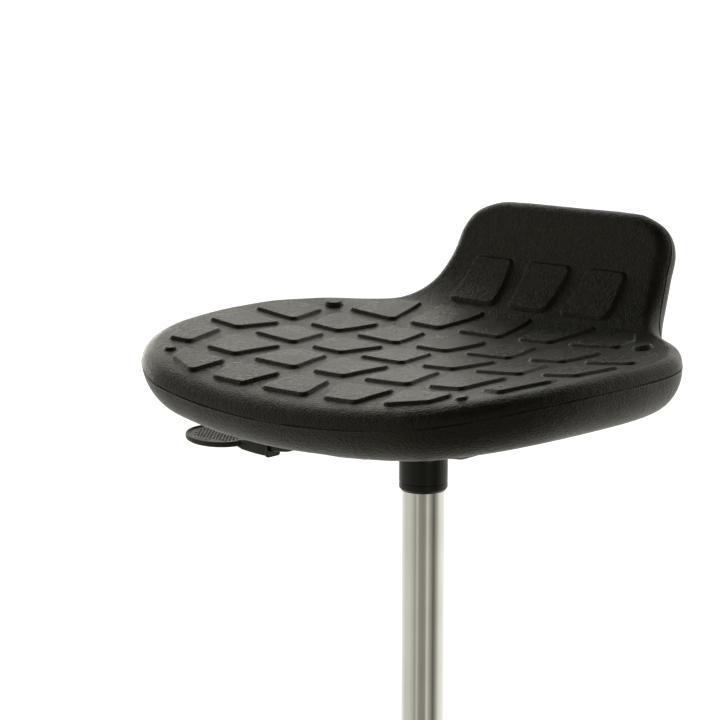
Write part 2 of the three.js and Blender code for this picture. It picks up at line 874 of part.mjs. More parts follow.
function coneHub() {
  const bore = SPRING.outer + CLEARANCE;
  const softening = HUB.chamfer / 3;
  return turned(
    [
      [bore, 0],
      [hubOuter - HUB.chamfer, 0],
      [hubOuter - softening, softening],
      [hubOuter, HUB.chamfer],
      [hubOuter, HUB.height],
      [bore - SPRING.coneDrop, HUB.height],
    ],
    SEGMENTS.visible,
  );
}

function pivotPin() {
  const head = LEVER.pinRadius + LEVER.pinHead;
  const underHead = -housingOuter - CLEARANCE;
  const end = housingOuter + HOUSING.wall;
  const pin = turned(
    [
      [0, underHead - HOUSING.wall],
      [head, underHead - HOUSING.wall],
      [head, underHead],
      [LEVER.pinRadius, underHead],
      [LEVER.pinRadius, end],
      [0, end],
    ],
    SEGMENTS.hidden,
  );
  return onPivot(pin);
}

/** The lever's centre line in X and Z, from its finger over the release pin out to its end in the grip. */
function leverPath() {
  const finger = new THREE.Vector2(LEVER.fingerPast, pinTop + CLEARANCE + LEVER.thickness / 2);
  const pivot = new THREE.Vector2(-pivotReach, pivotHeight);
  const knee = new THREE.Vector2(pivot.x - LEVER.kneeRun, pivot.y - LEVER.kneeDrop);
  const elbow = new THREE.Vector2(knee.x - LEVER.elbowRun, knee.y - LEVER.elbowDrop);
  const tail = new THREE.Vector2(elbow.x - LEVER.tailRun, elbow.y - LEVER.tailDrop);
  const rounded = (before, corner, after) => [
    corner.clone().lerp(before, LEVER_BEND_SHARE),
    corner.clone().lerp(after, LEVER_BEND_SHARE),
  ];
  return [finger, pivot, ...rounded(pivot, knee, elbow), ...rounded(knee, elbow, tail), tail];
}

function leverArm() {
  const arm = acrossY(bandOutline(leverPath(), LEVER.thickness), LEVER.width);
  const bossHalf = housingInner - CLEARANCE;
  const boss = onPivot(ring(0, LEVER.bossRadius, -bossHalf, bossHalf, SEGMENTS.hidden));
  const bore = onPivot(ring(0, LEVER.pinRadius + CLEARANCE, -housingInner, housingInner, SEGMENTS.hidden));
  return cutFrom(joined(arm, boss), bore);
}

/** An oval paddle with a raised rim, leaning to the front, on a sleeve that is pushed over the arm's end. */
function leverGrip() {
  const path = leverPath();
  const tail = path.at(-1);
  const along = tail.clone().sub(path.at(-2)).normalize();
  const face = tail.y + GRIP.overTail;
  const oval = (grow, low, high) => {
    const curve = new THREE.EllipseCurve(0, 0, GRIP.halfLength + grow, GRIP.halfWidth + grow);
    const shape = new THREE.Shape(curve.getPoints(SEGMENTS.visible).slice(0, -1));
    const body = new THREE.ExtrudeGeometry(shape, { depth: high - low, bevelEnabled: false });
    const leaning = body.translate(0, 0, low).rotateX(THREE.MathUtils.degToRad(GRIP.tilt));
    return leaning.translate(tail.x - GRIP.fromTail, 0, face);
  };
  const recess = oval(-GRIP.rimWidth, 0, GRIP.rimHeight + OVERRUN);
  const paddle = cutFrom(oval(0, -GRIP.plateThickness, GRIP.rimHeight), recess);
  const mouthX = tail.x - GRIP.sleeveOver + GRIP.sleeveLength;
  const mouth = tail.clone().addScaledVector(along, (mouthX - tail.x) / along.x);
  const sleeveBottom = tail.y - LEVER.thickness / 2 - GRIP.sleeveSide;
  const sleeveTop = mouth.y + LEVER.thickness / 2 + GRIP.sleeveSide;
  const sleeveWidth = LEVER.width + 2 * GRIP.sleeveSide;
  const sleeve = box(GRIP.sleeveLength, sleeveWidth, sleeveBottom, sleeveTop, mouthX - GRIP.sleeveLength / 2);
  const lip = box(
    GRIP.lipLength,
    sleeveWidth + 2 * GRIP.lipProud,
    sleeveBottom - GRIP.lipProud,
    sleeveTop + GRIP.lipProud,
    mouthX - GRIP.lipLength / 2,
  );
  const slotPath = [mouth.addScaledVector(along, -OVERRUN), tail.addScaledVector(along, CLEARANCE)];
  const slot = acrossY(bandOutline(slotPath, LEVER.thickness + 2 * CLEARANCE), LEVER.width + 2 * CLEARANCE);
  return cutFrom(joined(paddle, sleeve, lip), slot);
}

// The gas spring, with heights over the collar's lower edge

const cylinderTop = HUB.height;
const cylinderBottom = tubeTop - SPRING.inTube - collarHeight;
const glandLow = cylinderBottom + SPRING.lip + CLEARANCE;
const glandTop = glandLow + SPRING.glandLength;
const valveTop = cylinderTop - SPRING.endWall - CLEARANCE;
const valveLow = valveTop - SPRING.valveLength;
const pistonLow = glandTop + SPRING.pistonOverGland;
const pistonTop = pistonLow + SPRING.pistonHeight;
const sealMiddle = (pistonLow + pistonTop) / 2;

function pressureCylinder() {
  const lipBore = cylinderInner - SPRING.lipWidth;
  const pinBore = SPRING.pinRadius + CLEARANCE;
  const coneLow = cylinderTop - SPRING.coneLength;
  return turned(
    [
      [lipBore, cylinderBottom],
      [cylinderInner, cylinderBottom],
      [SPRING.outer, cylinderBottom + SPRING.wall],
      [SPRING.outer, coneLow],
      [SPRING.outer - SPRING.coneDrop, cylinderTop],
      [pinBore, cylinderTop],
      [pinBore, cylinderTop - SPRING.endWall],
      [cylinderInner - SPRING.coneDrop, cylinderTop - SPRING.endWall],
      [cylinderInner, coneLow],
      [cylinderInner, cylinderBottom + SPRING.lip],
      [lipBore, cylinderBottom + SPRING.lip],
    ],
    SEGMENTS.visible,
  );
}

function innerTube() {
  const inner = innerTubeOuter - SPRING.innerTubeWall;
  return ring(inner, innerTubeOuter, glandTop + CLEARANCE, valveLow - CLEARANCE, SEGMENTS.hidden);
}

function valveBody() {
  const radius = cylinderInner - SPRING.coneDrop - CLEARANCE;
  const pinBore = SPRING.pinRadius + CLEARANCE;
  const boreLow = pinTop - SPRING.pinLength - SPRING.pinTravel - CLEARANCE;
  return turned(
    [
      [0, valveLow],
      [radius, valveLow],
      [radius, valveTop],
      [pinBore, valveTop],
      [pinBore, boreLow],
      [0, boreLow],
    ],
    SEGMENTS.hidden,
  );
}

function releasePin() {
  return turned(
    [
      [0, pinTop - SPRING.pinLength],
      [SPRING.pinRadius, pinTop - SPRING.pinLength],
      [SPRING.pinRadius, pinTop - SPRING.pinDome],
      [SPRING.pinRadius - SPRING.pinDome, pinTop],
      [0, pinTop],
    ],
    SEGMENTS.hidden,
  );
}

function rodGland() {
  return ring(SPRING.rodRadius + CLEARANCE, cylinderInner - CLEARANCE, glandLow, glandTop, SEGMENTS.hidden);
}

/** The piston on the rod's thin top. It stays where it is while the cylinder goes down over it. */
function piston() {
  const half = SPRING.sealHeight / 2 + CLEARANCE;
  const core = pistonRadius - SPRING.sealDepth - CLEARANCE;
  return turned(
    [
      [spigotRadius + CLEARANCE, pistonLow],
      [pistonRadius, pistonLow],
      [pistonRadius, sealMiddle - half],
      [core, sealMiddle - half],
      [core, sealMiddle + half],
      [pistonRadius, sealMiddle + half],
      [pistonRadius, pistonTop],
      [spigotRadius + CLEARANCE, pistonTop],
    ],
    SEGMENTS.hidden,
  );
}

function pistonSeal() {
  const half = SPRING.sealHeight / 2;
  const inner = pistonRadius - SPRING.sealDepth;
  return ring(inner, pistonRadius, sealMiddle - half, sealMiddle + half, SEGMENTS.hidden);
}

// The rod and its bearing, with heights over the floor

function pistonRod() {
  const grooveRadius = spigotRadius - BEARING.clipDepth;
  const shoulderHigh = collarHeight + pistonLow - CLEARANCE;
  return turned(
    [
      [0, clipLow - SPRING.rodTail],
      [spigotRadius, clipLow - SPRING.rodTail],
      [spigotRadius, clipLow - CLEARANCE],
      [grooveRadius, clipLow - CLEARANCE],
      [grooveRadius, clipTop + CLEARANCE],
      [spigotRadius, clipTop + CLEARANCE],
      [spigotRadius, rodShoulderLow],
      [SPRING.rodRadius, rodShoulderLow],
      [SPRING.rodRadius, shoulderHigh],
      [spigotRadius, shoulderHigh],
      [spigotRadius, collarHeight + pistonTop],
      [0, collarHeight + pistonTop],
    ],
    SEGMENTS.hidden,
  );
}

function race(low) {
  const outer = cageOuter + BEARING.raceMargin;
  return ring(spigotRadius + CLEARANCE, outer, low, low + BEARING.raceThickness, SEGMENTS.hidden);
}

function aroundBearing(geometry) {
  return Array.from({ length: BEARING.ballCount }, (_, i) =>
    geometry
      .clone()
      .translate(BEARING.pitchRadius, 0, ballLow + BEARING.ballRadius)
      .rotateZ((2 * Math.PI * i) / BEARING.ballCount),
  );
}

function ballCage() {
  const middle = ballLow + BEARING.ballRadius;
  const half = BEARING.cageThickness / 2;
  const hole = ring(0, BEARING.ballRadius + CLEARANCE, -half - OVERRUN, half + OVERRUN, SEGMENTS.small);
  const blank = ring(cageInner, cageOuter, middle - half, middle + half, SEGMENTS.hidden);
  return cutFrom(blank, ...aroundBearing(hole));
}

function bearingBalls() {
  return aroundBearing(new THREE.SphereGeometry(BEARING.ballRadius, SEGMENTS.small, SEGMENTS.small / 2));
}

function rubberBumper() {
  const bore = SPRING.rodRadius + CLEARANCE;
  return turned(
    [
      [bore, bumperLow],
      [BEARING.bumperRadius, bumperLow],
      [BEARING.bumperRadius - BEARING.bumperWaist, (bumperLow + bumperTop) / 2],
      [BEARING.bumperRadius, bumperTop],
      [bore, bumperTop],
    ],
    SEGMENTS.hidden,
  );
}

function bottomWasher() {
  const low = washerTop - BEARING.washerThickness;
  return ring(spigotRadius + CLEARANCE, BEARING.washerRadius, low, washerTop, SEGMENTS.hidden);
}

/** An open ring snapped into the rod's groove. */
function retainingClip() {
  const bore = spigotRadius - BEARING.clipDepth + CLEARANCE;
  const whole = ring(bore, BEARING.clipRadius, clipLow, clipTop, SEGMENTS.hidden);
  const mouth = box(2 * BEARING.clipRadius, bore, clipLow - OVERRUN, clipTop + OVERRUN, BEARING.clipRadius);
  return cutFrom(whole, mouth);
}

// The fixed column

function outerTube() {
  return turned(
    [
      [COLUMN.endPlateBore, COLUMN.tubeBottom],
      [COLUMN.tubeOuter - COLUMN.tubeTaper, COLUMN.tubeBottom],
      [COLUMN.tubeOuter, gripTop],
      [COLUMN.tubeOuter, tubeTop],
      [tubeInner, tubeTop],
      [tubeInner, gripTop],
      [tubeInner - COLUMN.tubeTaper, endPlateTop],
      [COLUMN.endPlateBore, endPlateTop],
    ],
    SEGMENTS.visible,
  );
}

function guideBushing() {
  const bore = SPRING.outer + CLEARANCE;
  const flangeLow = tubeTop + CLEARANCE;
  return turned(
    [
      [bore, tubeTop - COLUMN.bushLength],
      [tubeInner - CLEARANCE, tubeTop - COLUMN.bushLength],
      [tubeInner - CLEARANCE, flangeLow],
      [COLUMN.tubeOuter, flangeLow],
      [COLUMN.tubeOuter, flangeLow + COLUMN.bushFlange],
      [bore, flangeLow + COLUMN.bushFlange],
    ],
    SEGMENTS.visible,
  );
}

function columnCap() {
  const low = tubeTop - COLUMN.capSkirt;
  const inner = COLUMN.tubeOuter + CLEARANCE;
  const outer = inner + COLUMN.capWall;
  const bore = SPRING.outer + 2 * CLEARANCE;
  return turned(
    [
      [inner, low],
      [outer, low],
      [outer, capTop - COLUMN.capLip],
      [outer - COLUMN.capLip, capTop],
      [bore, capTop],
      [bore, capUnderLip],
      [inner, capUnderLip],
    ],
    SEGMENTS.visible,
  );
}

// The base

/** Half width, top and bottom of an arm at a distance from the column's axis. */
function armSection(distance) {
  const share = Math.min((distance - BASE.rootReach) / (BASE.tipReach - BASE.rootReach), 1);
  const past = Math.max(distance - BASE.tipReach, 0) / BASE.tipRadius;
  const fall = Math.sin((share * Math.PI) / 2) ** BASE.fallPower;
  return {
    half: THREE.MathUtils.lerp(BASE.rootHalfWidth, BASE.tipRadius, share) * Math.sqrt(1 - past ** 2),
    top: THREE.MathUtils.lerp(hubTop - BASE.rootUnderHubTop, tipBottom + BASE.tipDepth, fall),
    bottom: THREE.MathUtils.lerp(hubBottom + BASE.rootOverHubFloor, tipBottom, fall),
  };
}

function armBody() {
  const stations = [
    ...ARM_STATION_SHARES.map((share) => THREE.MathUtils.lerp(BASE.rootReach, BASE.tipReach, share)),
    ...TIP_ROUND_SHARES.map((share) => BASE.tipReach + share * BASE.tipRadius),
  ];
  const power = (value) => Math.sign(value) * Math.abs(value) ** BASE.sectionPower;
  return lofted(
    stations.map((distance) => {
      const { half, top, bottom } = armSection(distance);
      return Array.from({ length: STEPS.armRing }, (_, i) => {
        const angle = (2 * Math.PI * (i + 0.5)) / STEPS.armRing;
        const height = (top + bottom) / 2 + ((top - bottom) / 2) * power(Math.sin(angle));
        return new THREE.Vector3(half * power(Math.cos(angle)), -distance, height);
      });
    }),
  );
}

/** The hollow under an arm, open below and narrower at its top. */
function armChannel() {
  const start = hubRadius + BASE.channelFromHub;
  const end = glideReach - BASE.channelFromStem;
  return lofted(
    Array.from({ length: STEPS.channel + 1 }, (_, i) => {
      const distance = THREE.MathUtils.lerp(start, end, i / STEPS.channel);
      const { half, top, bottom } = armSection(distance);
      const mouth = half - BASE.wall;
      const roof = mouth - BASE.wall;
      return [
        new THREE.Vector3(-mouth, -distance, bottom - OVERRUN),
        new THREE.Vector3(mouth, -distance, bottom - OVERRUN),
        new THREE.Vector3(roof, -distance, top - BASE.wall),
        new THREE.Vector3(-roof, -distance, top - BASE.wall),
      ];
    }),
  );
}

function armAngles() {
  return Array.from({ length: BASE.arms }, (_, i) => (2 * Math.PI * i) / BASE.arms);
}

function baseStar() {
  const grip = COLUMN.tubeOuter + CLEARANCE;
  const bore = turned(
    [
      [0, COLUMN.tubeBottom],
      [grip - COLUMN.tubeTaper, COLUMN.tubeBottom],
      [grip, gripTop],
      [0, gripTop],
    ],
    SEGMENTS.visible,
  );
  const hub = turned(
    [
      [0, hubBottom],
      [hubRadius - BASE.hubChamfer, hubBottom],
      [hubRadius, hubBottom + BASE.hubChamfer],
      [hubRadius, hubTop - BASE.hubChamfer],
      [hubRadius - BASE.hubChamfer, hubTop],
      [0, hubTop],
    ],
    SEGMENTS.visible,
  );
  const stemHole = ring(0, GLIDE.stemRadius + CLEARANCE, nutLow, stemTop + CLEARANCE, SEGMENTS.small);
  stemHole.translate(0, -glideReach, 0);
  const arms = armAngles().map((angle) => armBody().rotateZ(angle));
  const channels = armAngles().map((angle) => armChannel().rotateZ(angle));
  const stemHoles = armAngles().map((angle) => stemHole.clone().rotateZ(angle));
  return cutFrom(joined(hub, ...arms), bore, ...channels, ...stemHoles);
}

/** The threaded stem with its nut, from inside the foot up into the arm. */
function glideStem() {
  const low = GLIDE.footHeight - GLIDE.socket + CLEARANCE;
  return turned(
    [
      [0, low],
      [GLIDE.stemRadius, low],
      [GLIDE.stemRadius, nutLow],
      [GLIDE.nutRadius, nutLow],
      [GLIDE.nutRadius, nutHigh],
      [GLIDE.stemRadius, nutHigh],
      [GLIDE.stemRadius, stemTop],
      [0, stemTop],
    ],
    SEGMENTS.small,
  );
}

function glideFoot() {
  const socketLow = GLIDE.footHeight - GLIDE.socket;
  const neckTop = GLIDE.footHeight + GLIDE.neckHeight;
  const softening = GLIDE.footSkirt / 2;
  return turned(
    [
      [0, 0],
      [GLIDE.footRadius - softening, 0],
      [GLIDE.footRadius, softening],
      [GLIDE.footRadius, GLIDE.footSkirt],
      [GLIDE.footRadius - GLIDE.footSkirt, GLIDE.footHeight - softening],
      [GLIDE.neckRadius, GLIDE.footHeight],
      [GLIDE.neckRadius, neckTop],
      [GLIDE.stemRadius + CLEARANCE, neckTop],
      [GLIDE.stemRadius + CLEARANCE, socketLow],
      [0, socketLow],
    ],
    SEGMENTS.hidden,
  );
}

// The assembly

function groupAt(height, ...pieces) {
  const group = new THREE.Group();
  group.position.z = height;
  group.add(...pieces);
  return group;
}

function fixedBase() {
  const glides = armAngles().flatMap((angle, i) => {
    const atTip = (geometry) => geometry.translate(0, -glideReach, 0).rotateZ(angle);
    return [
      piece(`glide_stem_${i + 1}`, atTip(glideStem()), FINISH.zinc),
      piece(`glide_foot_${i + 1}`, atTip(glideFoot()), FINISH.plastic),
    ];
  });
  return groupAt(
    0,
    piece("base_star", baseStar(), FINISH.aluminium),
    ...glides,
    piece("outer_tube", outerTube(), FINISH.chrome),
    piece("guide_bushing", guideBushing(), FINISH.nylon),
    piece("column_cap", columnCap(), FINISH.plastic),
    piece("thrust_race_lower", race(lowerRace), FINISH.zinc),
    piece("bottom_washer", bottomWasher(), FINISH.zinc),
  );
}

function rodAndBearing() {
  return groupAt(
    0,
    piece("ball_cage", ballCage(), FINISH.nylon),
    ...bearingBalls().map((ball, i) => piece(`bearing_ball_${i + 1}`, ball, FINISH.chrome)),
    piece("thrust_race_upper", race(upperRace), FINISH.zinc),
    piece("rubber_bumper", rubberBumper(), FINISH.rubber),
    piece("retaining_clip", retainingClip(), FINISH.zinc),
    piece("piston_rod", pistonRod(), FINISH.chrome),
  );
}

function gasSpring() {
  return groupAt(
    collarHeight,
    piece("pressure_cylinder", pressureCylinder(), FINISH.chrome),
    piece("inner_tube", innerTube(), FINISH.zinc),
    piece("valve_body", valveBody(), FINISH.zinc),
    piece("release_pin", releasePin(), FINISH.zinc),
    piece("rod_gland", rodGland(), FINISH.nylon),
    piece("piston", piston(), FINISH.zinc),
    piece("piston_seal", pistonSeal(), FINISH.rubber),
  );
}

function mechanism() {
  return groupAt(
    collarHeight,
    piece("cone_hub", coneHub(), FINISH.blackSteel),
    piece("lever_housing", leverHousing(), FINISH.blackSteel),
    piece("mounting_plate", mountingPlate(), FINISH.blackSteel),
    piece("lever_arm", leverArm(), FINISH.blackSteel),
    piece("lever_grip", leverGrip(), FINISH.plastic),
    piece("pivot_pin", pivotPin(), FINISH.zinc),
  );
}

function seat() {
  const fasteners = mountingHoles().flatMap(([x, y], i) => [
    piece(`threaded_insert_${i + 1}`, threadedInsert().translate(x, y, 0), FINISH.zinc),
    piece(`plate_screw_${i + 1}`, plateScrew().translate(x, y, 0), FINISH.zinc),
    piece(`plate_washer_${i + 1}`, plateWasher().translate(x, y, 0), FINISH.zinc),
  ]);
  return groupAt(
    collarHeight,
    piece("seat_foam", seatFoam(), FINISH.foam),
    piece("seat_board", seatBoard(), FINISH.plywood),
    piece("back_stiffener", stiffenerBody(0), FINISH.zinc),
    ...fasteners,
  );
}

const stool = new THREE.Group();
stool.name = "perch_stool";
// With one arm pointing forward, the rear arms reach less far back, so the column stands behind the origin.
stool.position.y = (BASE.tipReach * (1 - Math.cos(Math.PI / BASE.arms))) / 2;
stool.add(fixedBase(), rodAndBearing(), gasSpring(), mechanism(), seat());

export default stool;
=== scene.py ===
# Perch stool: its looks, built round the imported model. Sizes are in millimetres until a mesh is made.
# The sitter faces -Y and +X is the sitter's left. The column stands at (0, AXIS_Y), and heights marked
# as over the collar count from the collar's lower edge.

import math

import bmesh
import bpy
import numpy as np
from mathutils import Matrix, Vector
from mathutils.geometry import delaunay_2d_cdt, tessellate_polygon


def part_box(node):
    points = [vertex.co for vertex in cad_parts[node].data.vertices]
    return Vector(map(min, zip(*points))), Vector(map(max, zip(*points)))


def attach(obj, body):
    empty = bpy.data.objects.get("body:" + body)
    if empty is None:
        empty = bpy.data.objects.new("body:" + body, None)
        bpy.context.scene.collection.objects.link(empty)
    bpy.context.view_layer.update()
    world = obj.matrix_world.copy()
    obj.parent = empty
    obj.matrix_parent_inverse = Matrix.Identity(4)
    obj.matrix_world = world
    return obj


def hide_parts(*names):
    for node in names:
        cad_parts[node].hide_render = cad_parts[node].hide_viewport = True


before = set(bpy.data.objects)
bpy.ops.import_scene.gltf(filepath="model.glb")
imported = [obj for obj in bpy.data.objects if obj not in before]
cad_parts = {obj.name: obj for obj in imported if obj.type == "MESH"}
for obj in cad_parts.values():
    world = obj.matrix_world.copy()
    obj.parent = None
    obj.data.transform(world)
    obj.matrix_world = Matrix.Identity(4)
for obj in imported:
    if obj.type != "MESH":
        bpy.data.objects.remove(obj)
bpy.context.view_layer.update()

MM = 0.001
cylinder_low, cylinder_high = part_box("pressure_cylinder")
AXIS_Y = (cylinder_low[1] + cylinder_high[1]) / 2 / MM
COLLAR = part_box("cone_hub")[0][2] / MM
SMOOTH_TURN = 96  # segments of a turned piece that shows
GAP = 0.3


# Studio: camera, floor, world and lamps

CAMERA_AT = (0.9141, -1.0577, 1.0364)
CAMERA_TURN = (79.43, 0, 41.77)
CAMERA_LENS = (111.25, 36)  # focal length and film width


def link_object(name, data):
    thing = bpy.data.objects.new(name, data)
    bpy.context.collection.objects.link(thing)
    return thing


def set_camera():
    camera = link_object("camera", bpy.data.cameras.new("camera"))
    camera.location = CAMERA_AT
    camera.rotation_euler = [math.radians(angle) for angle in CAMERA_TURN]
    camera.data.lens, camera.data.sensor_width = CAMERA_LENS
    camera.data.clip_end = 200
    bpy.context.scene.camera = camera
    bpy.context.scene.view_settings.view_transform = "Standard"


class Nodes:
    """Adds nodes to a tree. A value that is another node's socket is linked, and any other is set."""

    def __init__(self, tree):
        self.tree = tree

    def add(self, kind, values=None, **settings):
        node = self.tree.nodes.new(kind)
        for name, setting in settings.items():
            setattr(node, name, setting)
        for socket, value in (values or {}).items():
            self.put(node.inputs[socket], value)
        return node.outputs[0] if len(node.outputs) == 1 else node

    def put(self, socket, value):
        if isinstance(value, bpy.types.Node):
            value = value.outputs[0]
        if isinstance(value, bpy.types.NodeSocket):
            self.tree.links.new(value, socket)
        else:
            socket.default_value = value

    def sum(self, operation, *terms, clamp=False):
        return self.add("ShaderNodeMath", dict(enumerate(terms)), operation=operation, use_clamp=clamp)

    def vector(self, operation, *terms):
        return self.add("ShaderNodeVectorMath", dict(enumerate(terms)), operation=operation).outputs["Vector"]

    def ramp(self, factor, stops):
        node = self.add("ShaderNodeValToRGB", {"Fac": factor})
        elements = node.color_ramp.elements
        while len(elements) < len(stops):
            elements.new(0.5)
        for element, (position, colour) in zip(elements, stops):
            element.position = position
            element.color = (*colour, 1) if isinstance(colour, tuple) else (colour, colour, colour, 1)
        return node.outputs["Color"]


def light_around(nodes, direction):
    """The light round the stool by direction: bright behind, and dim on the camera's side, where a dark flag
    stands between two narrow reflectors."""
    camera_azimuth = math.atan2(CAMERA_AT[1] - AXIS_Y * MM, CAMERA_AT[0])
    turned = nodes.add("ShaderNodeVectorRotate", {"Vector": direction, "Angle": -camera_azimuth},
                       rotation_type="Z_AXIS")
    parts = nodes.add("ShaderNodeSeparateXYZ", {"Vector": turned})
    azimuth = nodes.sum("ARCTAN2", parts.outputs["Y"], parts.outputs["X"])
    stops = [(-180, 1.0), (-140, 0.9), (-110, 0.66), (-78, 0.64), (-55, 0.5), (-43, 0.34), (-31, 0.56), (-20, 0.3),
             (0, 0.25), (13, 0.3), (23, 0.66), (34, 0.42), (46, 0.28), (58, 0.12), (70, 0.25), (84, 0.48), (100, 0.8),
             (140, 0.95), (180, 1.0)]
    return nodes.ramp(nodes.sum("MULTIPLY_ADD", azimuth, 1 / math.tau, 0.5),
                      [(0.5 + angle / 360, (value, value * (0.965 + 0.02 * value), value * (0.78 + 0.13 * value)))
                       for angle, value in stops])


def light_up_world():
    """White to the camera, and the light round the stool to everything else."""
    world = bpy.data.worlds.new("studio")
    world.use_nodes = True
    bpy.context.scene.world = world
    world.node_tree.nodes.clear()
    nodes = Nodes(world.node_tree)
    direction = nodes.add("ShaderNodeTexCoord").outputs["Generated"]
    height = nodes.add("ShaderNodeSeparateXYZ", {"Vector": direction}).outputs["Z"]
    overhead = nodes.add("ShaderNodeMapRange", {"Value": height, 1: 0.56, 2: 0.76}, interpolation_type="SMOOTHSTEP")
    surround = nodes.add("ShaderNodeMixRGB", {"Fac": overhead, "Color1": light_around(nodes, direction),
                                              "Color2": (0.085, 0.082, 0.07, 1)})
    path = nodes.add("ShaderNodeLightPath").outputs
    white = nodes.add("ShaderNodeBackground", {"Color": (1, 1, 1, 1), "Strength": 1.0})
    softly = nodes.add("ShaderNodeBackground", {"Color": surround, "Strength": 0.8})
    mirrored = nodes.add("ShaderNodeBackground", {"Color": surround, "Strength": 1.0})
    by_gloss = nodes.add("ShaderNodeMixShader", {0: path["Is Glossy Ray"], 1: softly, 2: mirrored})
    seen = nodes.sum("MAXIMUM", path["Is Camera Ray"], path["Is Transmission Ray"])
    final = nodes.add("ShaderNodeMixShader", {0: seen, 1: by_gloss, 2: white})
    nodes.add("ShaderNodeOutputWorld", {"Surface": final})


def lay_floor():
    """A white floor. It keeps the stool's shadow, is lit like the rest of the room when the stool mirrors it,
    and isn't in the way of a look from below."""
    size = 40
    mesh = bpy.data.meshes.new("studio_floor")
    mesh.from_pydata([(-size, -size, 0), (size, -size, 0), (size, size, 0), (-size, size, 0)], [], [(0, 1, 2, 3)])
    floor = link_object("studio_floor", mesh)
    material = bpy.data.materials.new("white_floor")
    material.use_nodes = True
    material.node_tree.nodes.clear()
    nodes = Nodes(material.node_tree)
    place = nodes.add("ShaderNodeTexCoord").outputs["Object"]
    centred = nodes.vector("ADD", place, (0, -AXIS_Y * MM, 0))
    reach = nodes.add("ShaderNodeVectorMath", {0: centred}, operation="LENGTH").outputs["Value"]
    path = nodes.add("ShaderNodeLightPath").outputs
    seen = nodes.sum("MAXIMUM", path["Is Camera Ray"], path["Is Transmission Ray"])
    far = nodes.add("ShaderNodeMapRange", {"Value": reach, 1: 0.35, 2: 1.3, 3: 0.86, 4: 1.0},
                    interpolation_type="SMOOTHSTEP")
    paint = nodes.add("ShaderNodeBsdfDiffuse", {"Color": (0.62, 0.62, 0.61, 1)})
    glow = nodes.add("ShaderNodeEmission", {"Color": (1, 1, 1, 1), "Strength": nodes.sum("MULTIPLY", far, seen)})
    painted = nodes.add("ShaderNodeAddShader", {0: paint, 1: glow})
    mirrored = nodes.add("ShaderNodeEmission", {"Color": light_around(nodes, centred), "Strength": 1.0})
    either = nodes.add("ShaderNodeMixShader", {0: path["Is Glossy Ray"], 1: painted, 2: mirrored})
    below = nodes.add("ShaderNodeNewGeometry").outputs["Backfacing"]
    final = nodes.add("ShaderNodeMixShader", {0: below, 1: either, 2: nodes.add("ShaderNodeBsdfTransparent")})
    nodes.add("ShaderNodeOutputMaterial", {"Surface": final})
    mesh.materials.append(material)


def hang_lamp(name, place, aim, size, watts, colour):
    lamp = link_object(name, bpy.data.lights.new(name, "AREA"))
    lamp.data.shape = "RECTANGLE"
    lamp.data.size, lamp.data.size_y = size
    lamp.data.energy = watts
    lamp.data.color = colour
    lamp.location = place
    lamp.rotation_euler = (Vector(aim) - Vector(place)).to_track_quat("-Z", "Y").to_euler()


set_camera()
light_up_world()
lay_floor()
hang_lamp("back_softbox", (-1.9, 1.5, 1.9), (0, 0.05, 0.7), (1.4, 1.0), 4.8, (1, 0.965, 0.86))
hang_lamp("overhead_softbox", (-0.6, 0.3, 2.9), (0, 0, 0.6), (1.6, 1.6), 0.2, (1, 0.97, 0.88))
hang_lamp("left_softbox", (-2.0, 0.8, 0.85), (0, 0, 0.75), (1.0, 0.8), 7.5, (1, 0.97, 0.88))


# Finishes, each with its grain and wear at the real scale

def new_finish(name, **shader):
    material = bpy.data.materials.new(name)
    material.use_nodes = True
    nodes = Nodes(material.node_tree)
    bsdf = material.node_tree.nodes["Principled BSDF"]
    for socket, value in shader.items():
        bsdf.inputs[socket.replace("_", " ")].default_value = value
    place = nodes.add("ShaderNodeTexCoord").outputs["Object"]
    return material, nodes, bsdf, place


def noise(nodes, place, scale, detail=3.0, roughness=0.5, distortion=0.0):
    node = nodes.add("ShaderNodeTexNoise", {"Vector": place, "Scale": scale, "Detail": detail,
                                            "Roughness": roughness, "Distortion": distortion})
    return node.outputs[0]


def between(nodes, factor, low, high):
    """low where the factor is 0.3 or less, and high from 0.7 up."""
    return nodes.add("ShaderNodeMapRange", {"Value": factor, 1: 0.3, 2: 0.7, 3: low, 4: high})


def bump(nodes, height, strength, depth, below=None):
    values = {"Height": height, "Strength": strength, "Distance": depth}
    if below is not None:
        values["Normal"] = below
    return nodes.add("ShaderNodeBump", values)


def set_looks(nodes, bsdf, colour, dull, normal):
    for socket, value in (("Base Color", colour), ("Roughness", dull), ("Normal", normal)):
        nodes.put(bsdf.inputs[socket], value)


